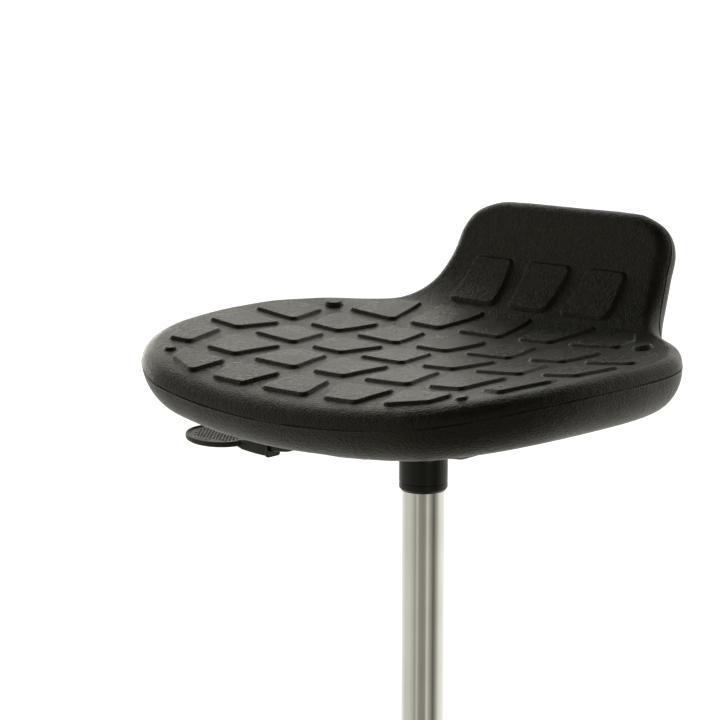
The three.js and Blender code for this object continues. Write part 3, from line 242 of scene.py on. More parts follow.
def moulded_foam():
    """Self-skinned foam: warm black, with a leather grain of small pebbles and longer wrinkles."""
    material, nodes, bsdf, place = new_finish("foam_skin", Specular_IOR_Level=0.26,
                                              Specular_Tint=(1.0, 0.97, 0.82, 1))
    warp = nodes.add("ShaderNodeTexNoise", {"Vector": place, "Scale": 180.0, "Detail": 3.0}).outputs["Color"]
    bent = nodes.vector("ADD", place, nodes.vector("MULTIPLY", warp, (0.004, 0.004, 0.004)))
    creases = nodes.add("ShaderNodeTexVoronoi", {"Vector": bent, "Scale": 480.0}, feature="DISTANCE_TO_EDGE")
    pebble = nodes.add("ShaderNodeMapRange", {"Value": creases, 1: 0.0, 2: 0.2})
    wrinkles = noise(nodes, bent, 330.0, 4.0, 0.65)
    stains = noise(nodes, place, 14.0, 4.0, 0.6)
    colour = nodes.ramp(stains, [(0.3, (0.0048, 0.0049, 0.0028)), (0.7, (0.0078, 0.0078, 0.005))])
    rubbed = nodes.add("ShaderNodeAttribute", attribute_name="rubbed").outputs["Fac"]
    dull = between(nodes, noise(nodes, place, 45.0, 3.0), 0.28, 0.35)
    coarse = bump(nodes, wrinkles, 0.4, 0.0007)
    set_looks(nodes, bsdf, colour, nodes.sum("MULTIPLY_ADD", rubbed, -0.03, dull),
              bump(nodes, pebble, 0.5, 0.00035, coarse))
    return material


def even_finish(name, dark, light, tone, dull, skin, **shader):
    """A finish whose tone, gloss and skin each vary by a noise of their own scale and detail."""
    material, nodes, bsdf, place = new_finish(name, **shader)
    set_looks(nodes, bsdf, nodes.ramp(noise(nodes, place, *tone), [(0.3, dark), (0.7, light)]),
              between(nodes, noise(nodes, place, *dull[:2]), *dull[2:]),
              bump(nodes, noise(nodes, place, *skin[:2]), *skin[2:]))
    return material


def hard_chrome():
    """Polished chrome, with fine grinding lines round the tube and faint finger marks."""
    material, nodes, bsdf, place = new_finish("polished_chrome", Metallic=1.0)
    stretched = nodes.add("ShaderNodeMapping", {"Vector": place, "Scale": (1.0, 1.0, 90.0)})
    lines = noise(nodes, stretched, 30.0, 3.0)
    marks = noise(nodes, place, 22.0, 5.0, 0.62)
    colour = nodes.ramp(marks, [(0.3, (0.80, 0.795, 0.785)), (0.7, (0.88, 0.88, 0.875))])
    dull = nodes.sum("MULTIPLY_ADD", lines, 0.03, between(nodes, marks, 0.045, 0.11))
    set_looks(nodes, bsdf, colour, dull, bump(nodes, lines, 0.02, 0.0001))
    return material


def polished_aluminium():
    """Cast aluminium, polished by hand, with the mop's faint lines and a little haze."""
    material, nodes, bsdf, place = new_finish("polished_aluminium", Metallic=1.0)
    haze = noise(nodes, place, 12.0, 5.0, 0.65)
    mop = nodes.add("ShaderNodeMapping", {"Vector": place, "Scale": (6.0, 6.0, 1.0)})
    lines = noise(nodes, mop, 140.0, 3.0, 0.6, 0.4)
    colour = nodes.ramp(haze, [(0.3, (0.72, 0.722, 0.725)), (0.7, (0.80, 0.802, 0.80))])
    dull = nodes.sum("MULTIPLY_ADD", lines, 0.07, between(nodes, haze, 0.15, 0.27))
    set_looks(nodes, bsdf, colour, dull, bump(nodes, lines, 0.05, 0.0001))
    return material


def birch_plywood():
    """Birch plywood: long grain on the faces, and light and dark plies along the edges."""
    material, nodes, bsdf, place = new_finish("birch_plywood", Specular_IOR_Level=0.35)
    parts = nodes.add("ShaderNodeSeparateXYZ", {"Vector": place})
    ply = nodes.sum("SINE", nodes.sum("MULTIPLY", parts.outputs["Z"], math.tau / 0.0029))
    long_grain = nodes.add("ShaderNodeMapping", {"Vector": place, "Scale": (14.0, 160.0, 160.0)})
    grain = noise(nodes, long_grain, 1.6, 5.0, 0.6, 0.6)
    fleck = noise(nodes, place, 800.0, 2.0)
    tone = nodes.sum("MULTIPLY_ADD", ply, 0.14, nodes.sum("MULTIPLY_ADD", fleck, 0.15, grain))
    colour = nodes.ramp(tone, [(0.35, (0.33, 0.20, 0.095)), (0.6, (0.50, 0.345, 0.18)), (0.85, (0.60, 0.44, 0.26))])
    set_looks(nodes, bsdf, colour, between(nodes, grain, 0.6, 0.75), bump(nodes, grain, 0.15, 0.0003))
    return material


FOAM = moulded_foam()
CHROME = hard_chrome()
ALUMINIUM = polished_aluminium()
PLYWOOD = birch_plywood()
COATED_STEEL = even_finish("black_powder_coat", (0.0045, 0.0046, 0.0036), (0.0075, 0.0076, 0.006), (30.0, 4.0),
                           (90.0, 3.0, 0.3, 0.42), (750.0, 2.0, 0.16, 0.0002), Specular_IOR_Level=0.35)
ZINC = even_finish("bright_zinc", (0.50, 0.52, 0.53), (0.68, 0.69, 0.68), (160.0, 4.0, 0.6),
                   (320.0, 3.0, 0.24, 0.4), (1400.0, 2.0, 0.1, 0.0001), Metallic=1.0)
PLASTIC = even_finish("black_plastic", (0.008, 0.0088, 0.0078), (0.014, 0.015, 0.0135), (40.0, 3.0),
                      (120.0, 3.0, 0.42, 0.54), (1900.0, 2.0, 0.25, 0.00015), Specular_IOR_Level=0.4)
NYLON = even_finish("natural_nylon", (0.66, 0.64, 0.57), (0.76, 0.74, 0.68), (60.0, 3.0),
                    (60.0, 3.0, 0.42, 0.56), (900.0, 2.0, 0.1, 0.0001), Specular_IOR_Level=0.5)
RUBBER = even_finish("black_rubber", (0.010, 0.010, 0.010), (0.021, 0.021, 0.020), (70.0, 4.0),
                     (70.0, 4.0, 0.7, 0.85), (1100.0, 3.0, 0.2, 0.0002), Specular_IOR_Level=0.4)


# Meshes

class Edited:
    """A mesh opened for editing, and written back at the end."""

    def __init__(self, mesh):
        self.mesh, self.shape = mesh, bmesh.new()

    def __enter__(self):
        self.shape.from_mesh(self.mesh)
        return self.shape

    def __exit__(self, *_):
        self.shape.to_mesh(self.mesh)
        self.shape.free()


def piece_from(name, points, faces):
    """A piece at the origin, from points in millimetres. Its seams are closed and its faces point outwards."""
    mesh = bpy.data.meshes.new(name)
    mesh.from_pydata((np.asarray(points, float) * MM).tolist(), [], [tuple(map(int, face)) for face in faces])
    with Edited(mesh) as shape:
        bmesh.ops.remove_doubles(shape, verts=shape.verts, dist=2e-6)
        bmesh.ops.dissolve_degenerate(shape, edges=shape.edges, dist=1e-7)
        bmesh.ops.recalc_face_normals(shape, faces=shape.faces)
    return link_object(name, mesh)


def places_of(piece):
    """The places of a piece's vertices, in millimetres."""
    places = np.empty(len(piece.data.vertices) * 3)
    piece.data.vertices.foreach_get("co", places)
    return places.reshape(-1, 3) / MM


def crease(piece, angle):
    """Smooth faces, with sharp edges where two faces meet at more than the angle."""
    with Edited(piece.data) as shape:
        for face in shape.faces:
            face.smooth = True
        for edge in shape.edges:
            edge.smooth = not (len(edge.link_faces) == 2 and edge.calc_face_angle(0) > math.radians(angle))


def dress(piece, finish, body, slot, *nodes, angle=32):
    """The last step of a piece: its creases, finish, body, and the CAD nodes that it stands for. The slot is not
    used.
    """
    crease(piece, angle)
    piece.data.materials.clear()
    piece.data.materials.append(finish)
    if nodes:
        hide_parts(*nodes)
    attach(piece, body)


def numbered(name, count):
    return [f"{name}_{i}" for i in range(1, count + 1)]


def settle_modifiers(piece):
    """Turns the piece and its modifiers into a plain mesh."""
    evaluated = piece.evaluated_get(bpy.context.evaluated_depsgraph_get())
    mesh = bpy.data.meshes.new_from_object(evaluated)
    piece.modifiers.clear()
    piece.data = mesh


def carve(piece, *tools, operation="DIFFERENCE"):
    """Cuts the tools out of a piece, or joins them to it."""
    for tool in tools:
        step = piece.modifiers.new("carve", "BOOLEAN")
        step.solver = "MANIFOLD"
        step.operation = operation
        step.object = tool
    settle_modifiers(piece)
    for tool in tools:
        bpy.data.objects.remove(tool)


def softened(corners, steps=4):
    """An outline from (x, y, radius) corners, each rounded off by its radius."""
    outline = []
    for i, (x, y, radius) in enumerate(corners):
        here = np.array([x, y], float)
        if radius <= 0:
            outline.append(here)
            continue
        sides = [np.array(corners[i - 1][:2], float) - here,
                 np.array(corners[(i + 1) % len(corners)][:2], float) - here]
        lengths = [np.linalg.norm(side) for side in sides]
        before, after = sides[0] / lengths[0], sides[1] / lengths[1]
        half = math.acos(max(-1.0, min(1.0, float(before @ after)))) / 2
        cut = min(radius / math.tan(half), 0.49 * lengths[0], 0.49 * lengths[1])
        start, end = here + before * cut, here + after * cut
        for t in np.linspace(0, 1, steps + 1):
            outline.append((1 - t) ** 2 * start + 2 * t * (1 - t) * here + t ** 2 * end)
    return np.array(outline)


def columns(*parts):
    """Points from a list of numbers for each axis."""
    return np.stack(parts, axis=1)


def ring_faces(count, rings, closed=False):
    """Quads between rings of points, one ring after another."""
    faces = []
    for r in range(rings if closed else rings - 1):
        low, high = r * count, ((r + 1) % rings) * count
        faces += [(low + i, low + (i + 1) % count, high + (i + 1) % count, high + i) for i in range(count)]
    return faces


def capped_faces(count, rings):
    """Quads between rings, and a face on the first and the last."""
    last = (rings - 1) * count
    return ring_faces(count, rings) + [tuple(range(count)), tuple(range(last, last + count))]


def turned_points(profile, segments, centre=(0.0, 0.0)):
    rings = [np.c_[circle(r, segments, centre)(0), np.full(segments, z)] for r, z in profile]
    return np.vstack(rings), ring_faces(segments, len(profile), closed=True)


def turned_piece(name, corners, segments=SMOOTH_TURN, centre=None, steps=4):
    """A turned piece about the column, or about another centre, from (radius, height, rounding) corners."""
    return piece_from(name, *turned_points(softened(corners, steps), segments, centre or (0, AXIS_Y)))


def rod_profile(radius, low, high):
    return [(0, low, 0), (radius, low, 0), (radius, high, 0), (0, high, 0)]


def washer_profile(inner, outer, low, high, soft):
    return [(inner, low, 0.1), (outer, low, soft), (outer, high, soft), (inner, high, 0.1)]


def piece_across(name, corners, segments, at, steps=4):
    """A turned piece laid along Y, about a pin at (x, z)."""
    points, faces = turned_points(softened(corners, steps), segments)
    x, y, z = points.T
    return piece_from(name, columns(at[0] + x, AXIS_Y + z, at[1] - y), faces)


def heights(node):
    """A CAD node's lowest and highest place."""
    return [corner[2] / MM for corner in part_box(node)]


def rounded_rectangle(width, depth, corner, steps=7):
    """A function from how far the rectangle grows to its points."""
    def loop(grow):
        half_x, half_y, radius = width / 2 + grow, depth / 2 + grow, max(corner + grow, 0.05)
        points = []
        for quarter, (sx, sy) in enumerate([(1, -1), (1, 1), (-1, 1), (-1, -1)]):
            for t in np.linspace(0, 1, steps + 1):
                angle = math.pi / 2 * (quarter - 1 + t)
                points.append((sx * (half_x - radius) + radius * math.cos(angle),
                               sy * (half_y - radius) + radius * math.sin(angle)))
        return np.array(points)
    return loop


def circle(radius, segments=48, centre=(0.0, 0.0)):
    angles = np.arange(segments) * math.tau / segments
    return lambda grow: columns(centre[0] + (radius + grow) * np.cos(angles),
                                centre[1] + (radius + grow) * np.sin(angles))


SOFT_EDGE = [(1.0, 0.0), (0.45, 0.12), (0.12, 0.45), (0.0, 1.0)]  # inset and rise of a rounded edge


def plate_piece(name, outer, holes, low, high, soft):
    """A flat plate with holes, whose edges are rounded by soft."""
    stations = [(inset * soft, low + rise * soft) for inset, rise in SOFT_EDGE]
    stations += [(inset * soft, high - rise * soft) for inset, rise in reversed(SOFT_EDGE)]
    points, faces, first, last = [], [], [], []
    for loop, side in [(outer, -1), *((hole, 1) for hole in holes)]:
        rings = [np.c_[loop(side * inset), np.full(len(loop(0)), z)] for inset, z in stations]
        count, start = len(rings[0]), sum(map(len, points))
        points += rings
        faces += [tuple(start + i for i in face) for face in ring_faces(count, len(rings))]
        first.append((start, rings[0]))
        last.append((start + count * (len(rings) - 1), rings[-1]))
    for loops in (first, last):
        names = [start + i for start, ring in loops for i in range(len(ring))]
        for triangle in tessellate_polygon([[Vector(point) for point in ring] for _, ring in loops]):
            faces.append(tuple(names[i] for i in triangle))
    shift = np.array([0, AXIS_Y, 0])
    return piece_from(name, np.vstack(points) + shift, faces)


def swept_piece(name, path, section):
    """A section, across and up, carried along a path in X and Z."""
    path = np.asarray(path, float)
    tangent = np.gradient(path, axis=0)
    tangent /= np.linalg.norm(tangent, axis=1)[:, None]
    points = []
    for (x, z), (run, rise) in zip(path, tangent):
        points += [(x - rise * up, AXIS_Y + across, z + run * up) for across, up in section]
    return piece_from(name, points, capped_faces(len(section), len(path)))


def distance_inside(points, outline):
    """How far each point lies from a closed outline, in millimetres."""
    start, side = outline, np.roll(outline, -1, axis=0) - outline
    length = np.maximum((side ** 2).sum(axis=1), 1e-12)
    nearest = np.empty(len(points))
    for i in range(0, len(points), 2000):
        offset = points[i:i + 2000, None, :] - start[None]
        share = np.clip((offset * side[None]).sum(axis=2) / length, 0, 1)
        gap = offset - share[..., None] * side[None]
        nearest[i:i + 2000] = np.sqrt((gap ** 2).sum(axis=2).min(axis=1))
    return nearest


def evenly(outline, spacing):
    """A closed outline with its points evenly spaced."""
    closed = np.vstack([outline, outline[:1]])
    reach = np.r_[0, np.cumsum(np.linalg.norm(np.diff(closed, axis=0), axis=1))]
    stations = np.linspace(0, reach[-1], int(reach[-1] / spacing) + 1)[:-1]
    return columns(*(np.interp(stations, reach, closed[:, k]) for k in (0, 1)))


def inset_ring(outline, inset):
    along = np.roll(outline, -1, axis=0) - np.roll(outline, 1, axis=0)
    along /= np.linalg.norm(along, axis=1)[:, None]
    return outline + inset * columns(-along[:, 1], along[:, 0])


def inside(points, polygon):
    x, y = points[:, 0:1], points[:, 1:2]
    ax, ay = polygon.T
    bx, by = np.roll(polygon, -1, axis=0).T
    crosses = (ay > y) != (by > y)
    with np.errstate(divide="ignore", invalid="ignore"):
        at = ax + (y - ay) / (by - ay) * (bx - ax)
    return (crosses & (x < at)).sum(axis=1) % 2 == 1


def skinned_side(outline, insets, loops, spacing, place, clear):
    """One side of a piece: bands along its outline, then triangles that follow the loops inside.

    place turns flat points and their distances from the outline into points in space. clear says which of the
    evenly spaced points are wanted."""
    rings = [inset_ring(outline, inset) for inset in insets]
    points = [place(ring, np.full(len(ring), inset)) for ring, inset in zip(rings, insets)]
    faces = ring_faces(len(outline), len(rings))
    boundary = rings[-1]
    low, high = boundary.min(axis=0), boundary.max(axis=0)
    grid = np.array([(x, row) for i, row in enumerate(np.arange(low[1], high[1], spacing * 0.866))
                     for x in np.arange(low[0] + (i % 2) * spacing / 2, high[0], spacing)])
    grid = grid[inside(grid, boundary)]
    grid = grid[distance_inside(grid, boundary) > spacing * 0.5]
    grid = grid[clear(grid)]
    kept, edges, start = [boundary], [], len(boundary)
    for loop in loops:
        steps = np.linalg.norm(loop - np.roll(loop, -1, axis=0), axis=1)
        closes = steps[-1] < 1.5 * steps[:-1].max()
        stays = inside(loop, boundary) & (distance_inside(loop, boundary) > 1.2)
        names = start + np.cumsum(stays) - 1
        edges += [(names[i], names[(i + 1) % len(loop)]) for i in range(len(loop))
                  if stays[i] and stays[(i + 1) % len(loop)] and (closes or i < len(loop) - 1)]
        kept.append(loop[stays])
        start += stays.sum()
    flat = np.vstack([*kept, grid])
    edges = [(int(a), int(b)) for a, b in edges]
    vertices, _, triangles, origins, _, _ = delaunay_2d_cdt(
        [Vector(p) for p in flat.tolist()], edges, [list(range(len(boundary)))], 1, 1e-4)
    inner = np.array([tuple(v) for v in vertices])
    distance = distance_inside(inner, outline)
    for i, origin in enumerate(origins):
        if origin:
            inner[i] = flat[origin[0]]
            if origin[0] < len(boundary):
                distance[i] = insets[-1]
    base = sum(map(len, points))
    points.append(place(inner, distance))
    faces += [tuple(base + i for i in triangle) for triangle in triangles]
    return np.vstack(points), faces


def closed_piece(name, top, low):
    """Joins the two sides of a piece along the outline that they share."""
    start = len(top[0])
    return piece_from(name, np.vstack([top[0], low[0]]), top[1] + [tuple(start + i for i in face) for face in low[1]])


def rounded_polygon(corners, radius):
    """A function from how far a convex polygon with rounded corners grows to its points."""
    corners = np.asarray(corners, float)
    sides = np.roll(corners, -1, axis=0) - corners
    sides /= np.linalg.norm(sides, axis=1)[:, None]
    outward = columns(sides[:, 1], -sides[:, 0])
    before = np.roll(outward, 1, axis=0)
    centres = corners - (outward + before) / (1 + (outward * before).sum(axis=1))[:, None] * radius

    arc_step, side_step = 0.9, 2.6

    def loop(grow):
        points = []
        for i, centre in enumerate(centres):
            start, end = math.atan2(before[i][1], before[i][0]), math.atan2(outward[i][1], outward[i][0])
            end += math.tau * (end < start)
            steps = max(1, round((radius + grow) * (end - start) / arc_step))
            arc = [centre + (radius + grow) * np.array([math.cos(a), math.sin(a)])
                   for a in np.linspace(start, end, steps + 1)]
            points += arc
            following = centres[(i + 1) % len(centres)] + (radius + grow) * outward[i]
            pieces = max(1, round(np.linalg.norm(following - arc[-1]) / side_step))
            points += [arc[-1] + (following - arc[-1]) * t for t in np.arange(1, pieces) / pieces]
        return np.array(points)

    def signed(points):
        gap = distance_inside(points, centres)
        return np.where(inside(points, centres), -gap, gap) - radius

    return loop, signed


def smooth_least(a, b, blend):
    share = np.maximum(blend - np.abs(a - b), 0) / blend
    return np.minimum(a, b) - share ** 2 * blend / 4


def fade_in(value, low, high):
    share = np.clip((value - low) / (high - low), 0, 1)
    return share * share * (3 - 2 * share)


# Patterns made with Geometry Nodes

def pattern_tree(name, sizes):
    """A tree with a piece coming in, named sizes, a finish, and the patterned piece going out."""
    tree = bpy.data.node_groups.new(name, "GeometryNodeTree")
    tree.interface.new_socket("Geometry", in_out="OUTPUT", socket_type="NodeSocketGeometry")
    tree.interface.new_socket("Piece", in_out="INPUT", socket_type="NodeSocketGeometry")
    for size, kind in sizes.items():
        tree.interface.new_socket(size, in_out="INPUT", socket_type="NodeSocket" + kind)
    tree.interface.new_socket("Finish", in_out="INPUT", socket_type="NodeSocketMaterial")
    nodes = Nodes(tree)
    return tree, nodes, tree.nodes.new("NodeGroupInput").outputs


def finish_tree(nodes, instances, finish):
    real = nodes.add("GeometryNodeRealizeInstances", {"Geometry": instances})
    done = nodes.add("GeometryNodeSetMaterial", {"Geometry": real, "Material": finish})
    nodes.add("NodeGroupOutput", {"Geometry": done})


def turned_copies_tree():
    """Copies of a piece, turned evenly about a vertical axis through a centre."""
    tree, nodes, sizes = pattern_tree("turned_copies", {"Count": "Int", "Centre": "Vector"})
    back = nodes.add("ShaderNodeVectorMath", {0: sizes["Centre"], "Scale": -1.0}, operation="SCALE")
    at_axis = nodes.add("GeometryNodeTransform", {"Geometry": sizes["Piece"], "Translation": back.outputs["Vector"]})
    points = nodes.add("GeometryNodePoints", {"Count": sizes["Count"], "Position": sizes["Centre"]})
    step = nodes.sum("DIVIDE", math.tau, sizes["Count"])
    angle = nodes.sum("MULTIPLY", nodes.add("GeometryNodeInputIndex"), step)
    turn = nodes.add("ShaderNodeCombineXYZ", {"Z": angle})
    copies = nodes.add("GeometryNodeInstanceOnPoints", {"Points": points, "Instance": at_axis, "Rotation": turn})
    finish_tree(nodes, copies, sizes["Finish"])
    return tree


def grid_copies_tree():
    """Copies of a piece on a grid, kept only inside an oval."""
    tree, nodes, sizes = pattern_tree("grid_copies", {
        "Centre": "Vector", "Length": "Float", "Width": "Float", "Along": "Int", "Across": "Int",
        "Oval Length": "Float", "Oval Width": "Float"})
    grid = nodes.add("GeometryNodeMeshGrid", {"Size X": sizes["Length"], "Size Y": sizes["Width"],
                                              "Vertices X": sizes["Along"], "Vertices Y": sizes["Across"]})
    place = nodes.add("ShaderNodeSeparateXYZ", {"Vector": nodes.add("GeometryNodeInputPosition")})
    square = [nodes.sum("POWER", nodes.sum("DIVIDE", nodes.sum("ABSOLUTE", place.outputs[axis]),
                                           nodes.sum("DIVIDE", sizes[size], 2.0)), 2.0)
              for axis, size in (("X", "Oval Length"), ("Y", "Oval Width"))]
    outside = nodes.sum("GREATER_THAN", nodes.sum("ADD", *square), 1.0)
    kept = nodes.add("GeometryNodeDeleteGeometry", {"Geometry": grid.outputs["Mesh"], "Selection": outside})
    placed = nodes.add("GeometryNodeSetPosition", {"Geometry": kept, "Offset": sizes["Centre"]})
    copies = nodes.add("GeometryNodeInstanceOnPoints", {"Points": placed, "Instance": sizes["Piece"]})
    finish_tree(nodes, copies, sizes["Finish"])
    return tree


def patterned(piece, tree, **values):
    """Runs a tree on a piece, with its sizes set by name, and keeps the result as a plain mesh."""
    step = piece.modifiers.new("pattern", "NODES")
    step.node_group = tree
    for item in tree.interface.items_tree:
        if item.in_out == "INPUT" and item.name.replace(" ", "_") in values:
            step[item.identifier] = values[item.name.replace(" ", "_")]
    settle_modifiers(piece)


TURNED_COPIES = turned_copies_tree()
GRID_COPIES = grid_copies_tree()
AXIS_POINT = (0.0, AXIS_Y * MM, 0.0)


def about_column(piece, count, finish):
    patterned(piece, TURNED_COPIES, Count=count, Centre=AXIS_POINT, Finish=finish)


# The seat's surface: a place is across, along the surface from the column's axis, and out along its normal

HALF_WIDTH = 176.0
FRONT_REACH, BACK_REACH = 156.0, 192.5  # from the column's axis to the front and to the top of the back rest
SIDE_RISE, BACK_WRAP = 12.3, 1.5  # how far the sides rise, on the seat and on the back rest
UPPER_RIM, LOWER_RIM = 10.5, 25.0  # how far the skin lies over the moulding line, and the underside under it
UPPER_ROUND, LOWER_ROUND = 9.0, 22.0  # how wide the rim's roundings are
SOFTER_FRONT = 7.0  # the upper rounding is this much wider at the front
BACK_THIN = 0.174  # share by which the back rest is thinner
FOAM_BOTTOM = COLLAR + 52
BOARD_TOP = FOAM_BOTTOM + 12
BOARD_SIZE = (200, 180, 10)  # across, deep, and the corners' radius
CROWN = FOAM_BOTTOM + 39.9
# The right half of the outline: shares of the half width, and of the reach
FRONT_OUTLINE = [(0, 1), (0.26, 0.983), (0.45, 0.952), (0.615, 0.904), (0.761, 0.801), (0.886, 0.639),
                 (0.96, 0.446), (0.996, 0.218)]
REAR_OUTLINE = [(1.006, 0.02), (0.982, 0.187), (0.902, 0.315), (0.814, 0.418), (0.716, 0.496), (0.614, 0.565),
                (0.552, 0.653), (0.514, 0.783), (0.499, 0.885), (0.452, 0.951), (0.35, 0.993), (0.239, 1), (0, 1)]
# The slope along the middle: shares of the reach, and degrees
FRONT_SLOPE = [(1.12, 16), (0.833, 9.5), (0.641, 5), (0.32, 0.7)]
REAR_SLOPE = [(0, 0.2), (0.26, 5.6), (0.39, 7), (0.478, 13), (0.54, 27.5), (0.655, 43.5), (0.78, 61),
              (0.91, 68), (1.2, 63)]

centre_along = np.arange(-200.0, 245.0, 0.25)
centre_slope = np.radians(np.interp(
    centre_along, [-s * FRONT_REACH for s, _ in FRONT_SLOPE] + [s * BACK_REACH for s, _ in REAR_SLOPE],
    [slope for _, slope in FRONT_SLOPE + REAR_SLOPE]))


def run_of(rate):
    """The running sum of a rate along the seat's centre line, zero at the column's axis."""
    total = np.r_[0, np.cumsum((rate[1:] + rate[:-1]) / 2 * np.diff(centre_along))]
    return total - np.interp(0, centre_along, total)


centre_y = AXIS_Y + run_of(np.cos(centre_slope))
centre_z = CROWN + run_of(np.sin(centre_slope))


def seat_point(x, along, out):
    rise = SIDE_RISE + (BACK_WRAP - SIDE_RISE) * fade_in(along / BACK_REACH, 0.31, 0.68)
    lift = rise * (x / HALF_WIDTH) ** 2 + out
    slope = np.interp(along, centre_along, centre_slope)
    y = np.interp(along, centre_along, centre_y) - np.sin(slope) * lift
    z = np.interp(along, centre_along, centre_z) + np.cos(slope) * lift
    return columns(x, y, z)


def seat_outline():
    """The seat's edge, a smooth closed curve through its points, counter-clockwise."""
    half = [(x * HALF_WIDTH, -s * FRONT_REACH) for x, s in FRONT_OUTLINE]
    half += [(x * HALF_WIDTH, s * BACK_REACH) for x, s in REAR_OUTLINE]
    loop = np.array(half + [(-x, s) for x, s in half[1:-1][::-1]])
    curve = []
    for i in range(len(loop)):
        p0, p1, p2, p3 = (loop[(i + k) % len(loop)] for k in (-1, 0, 1, 2))
        d0, d1, d2 = (math.sqrt(np.linalg.norm(b - a)) for a, b in ((p0, p1), (p1, p2), (p2, p3)))
        leave = ((p1 - p0) / d0 - (p2 - p0) / (d0 + d1) + (p2 - p1) / d1) * d1
        arrive = ((p2 - p1) / d1 - (p3 - p1) / (d1 + d2) + (p3 - p2) / d2) * d1
        for t in np.arange(24) / 24:
            curve.append(p1 + leave * t + (3 * (p2 - p1) - 2 * leave - arrive) * t ** 2
                         + (2 * (p1 - p2) + leave + arrive) * t ** 3)
    return evenly(np.array(curve), 2.0)


SEAT_OUTLINE = seat_outline()
SEAT_MESH = 4.4  # spacing of the points away from edges

# Raised pads. In a row, a pad is narrow in front and wide behind, or the other way round, by turns.

PAD_PITCH = 46.8
PAD_HALF_WIDTHS = {"narrow": (12.0, 19.5), "wide": (17.3, 13.0)}  # at a pad's front and rear edge
PAD_TURN = {"narrow": "wide", "wide": "narrow"}
PAD_ROWS = [  # front edge, rear edge, how many to each side of the middle pad, and the middle pad's kind
    (57, 96, 1, "wide"),
    (7, 39, 3, "narrow"),
    (-42, -10, 3, "wide"),
    (-91, -58, 2, "narrow"),
    (-132, -107, 1, "wide"),
]
CUT_PADS = [  # cut off by the edge, and each mirrored to the other side
    [(75, 56), (113, 56), (112, 74), (100, 92), (84, 96)],
    [(123, -91), (137, -94), (150, -65), (149, -58), (130, -58)],
    [(80, -131), (106, -120.5), (111, -106), (76, -107)],
]
BACK_PADS = [  # on the back rest
    [(-14.2, 110), (14.2, 110), (17.2, 146.5), (-17.2, 146.5)],
    [(30.0, 110), (65.6, 110), (62.6, 146.5), (33.4, 146.5)],
    [(-65.6, 110), (-30.0, 110), (-33.4, 146.5), (-62.6, 146.5)],
]
PAD_WALL = (0.5, 2.6)  # a pad's wall lies this far outside its outline
PAD_CORNER, PAD_RISE = 2.6, 1.85
BUTTONS = [(131, 57.5, 4.6, 2.6), (121.5, -110, 2.2, 1.6)]  # across, along, radius of the top and rise
PAD_LOOPS = [2.9, 2.5, 2.15, 1.8, 1.45, 1.1, 0.75, 0.4, -0.5, -1.6]  # the mesh's loops outside a pad's outline


def round_point(radius, centre):
    return circle(radius, 28, centre), lambda points: np.linalg.norm(points - centre, axis=1) - radius


def raised_forms():
    """For each raised pad and button, its loops, the distance from its outline, and its rise."""
    outlines = list(BACK_PADS)
    for front, rear, sides, kind in PAD_ROWS:
        for column in range(-sides, sides + 1):
            near, far = PAD_HALF_WIDTHS[kind if column % 2 == 0 else PAD_TURN[kind]]
            middle = column * PAD_PITCH
            outlines.append([(middle - near, front), (middle + near, front), (middle + far, rear),
                             (middle - far, rear)])
    for corners in CUT_PADS:
        outlines += [corners, [(-x, s) for x, s in corners[::-1]]]
    forms = [(*rounded_polygon(corners, PAD_CORNER), PAD_RISE) for corners in outlines]
    for x, s, radius, rise in BUTTONS:
        forms += [(*round_point(radius, np.array([side * x, s])), rise) for side in (-1, 1)]
    return forms


RAISED = raised_forms()


def relief(points):
    """Height of the raised pads over the seat's skin, and how far each place lies up a pad, from 0 to 1."""
    height, up = np.zeros(len(points)), np.zeros(len(points))
    for _, distance, rise in RAISED:
        share = fade_in(-distance(points), -PAD_WALL[1], -PAD_WALL[0])
        height = np.maximum(height, rise * share)
        up = np.maximum(up, share)
    return height, up


def rim_share(along):
    return 1 - BACK_THIN * fade_in(along / BACK_REACH, 0.52, 0.78)


def quarter(inset, reach):
    return np.sqrt(1 - (1 - np.clip(inset / reach, 0, 1)) ** 2)


def at_moulding_line(points, inset):
    """Places along the moulding line, where a trimmed and uneven ridge stands beside a fine groove."""
    if inset.max() > 0.03:
        return points.T
    angle = np.arctan2(points[:, 1], points[:, 0])
    ridge = 0.24 + 0.1 * np.sin(9 * angle + 0.7) + 0.08 * np.sin(23 * angle + 2.0) + 0.05 * np.sin(61 * angle)
    groove = 0.32 + 0.14 * np.sin(2 * angle + 0.3) + 0.06 * np.sin(13 * angle) + 0.05 * np.sin(31 * angle + 1.0)
    push = np.where(inset < 0.001, ridge, -groove)
    return inset_ring(points, -push[:, None]).T


def upper_skin(points, inset):
    along = points[:, 1]
    rounding = UPPER_ROUND + SOFTER_FRONT * fade_in(-along, -20, 100)
    out = -UPPER_RIM * rim_share(along) * (1 - quarter(inset, rounding))
    x, along = at_moulding_line(points, inset)
    return seat_point(x, along, out + relief(points)[0] * (inset > 8))


BOSS = (216.0, 196.0, 14.0)  # the block of foam round the board: across, deep, and the corners' radius
FLANK_WIDTH, FLANK_RISE = 12.0, 22.15  # of the block's slanted flank


def boss_gap(x, y):
    """Distance outside the foot of the block of foam round the board, on plan."""
    qx = np.abs(x) - BOSS[0] / 2 + BOSS[2]
    qy = np.abs(y - AXIS_Y) - BOSS[1] / 2 + BOSS[2]
    return np.hypot(np.maximum(qx, 0), np.maximum(qy, 0)) + np.minimum(np.maximum(qx, qy), 0) - BOSS[2]


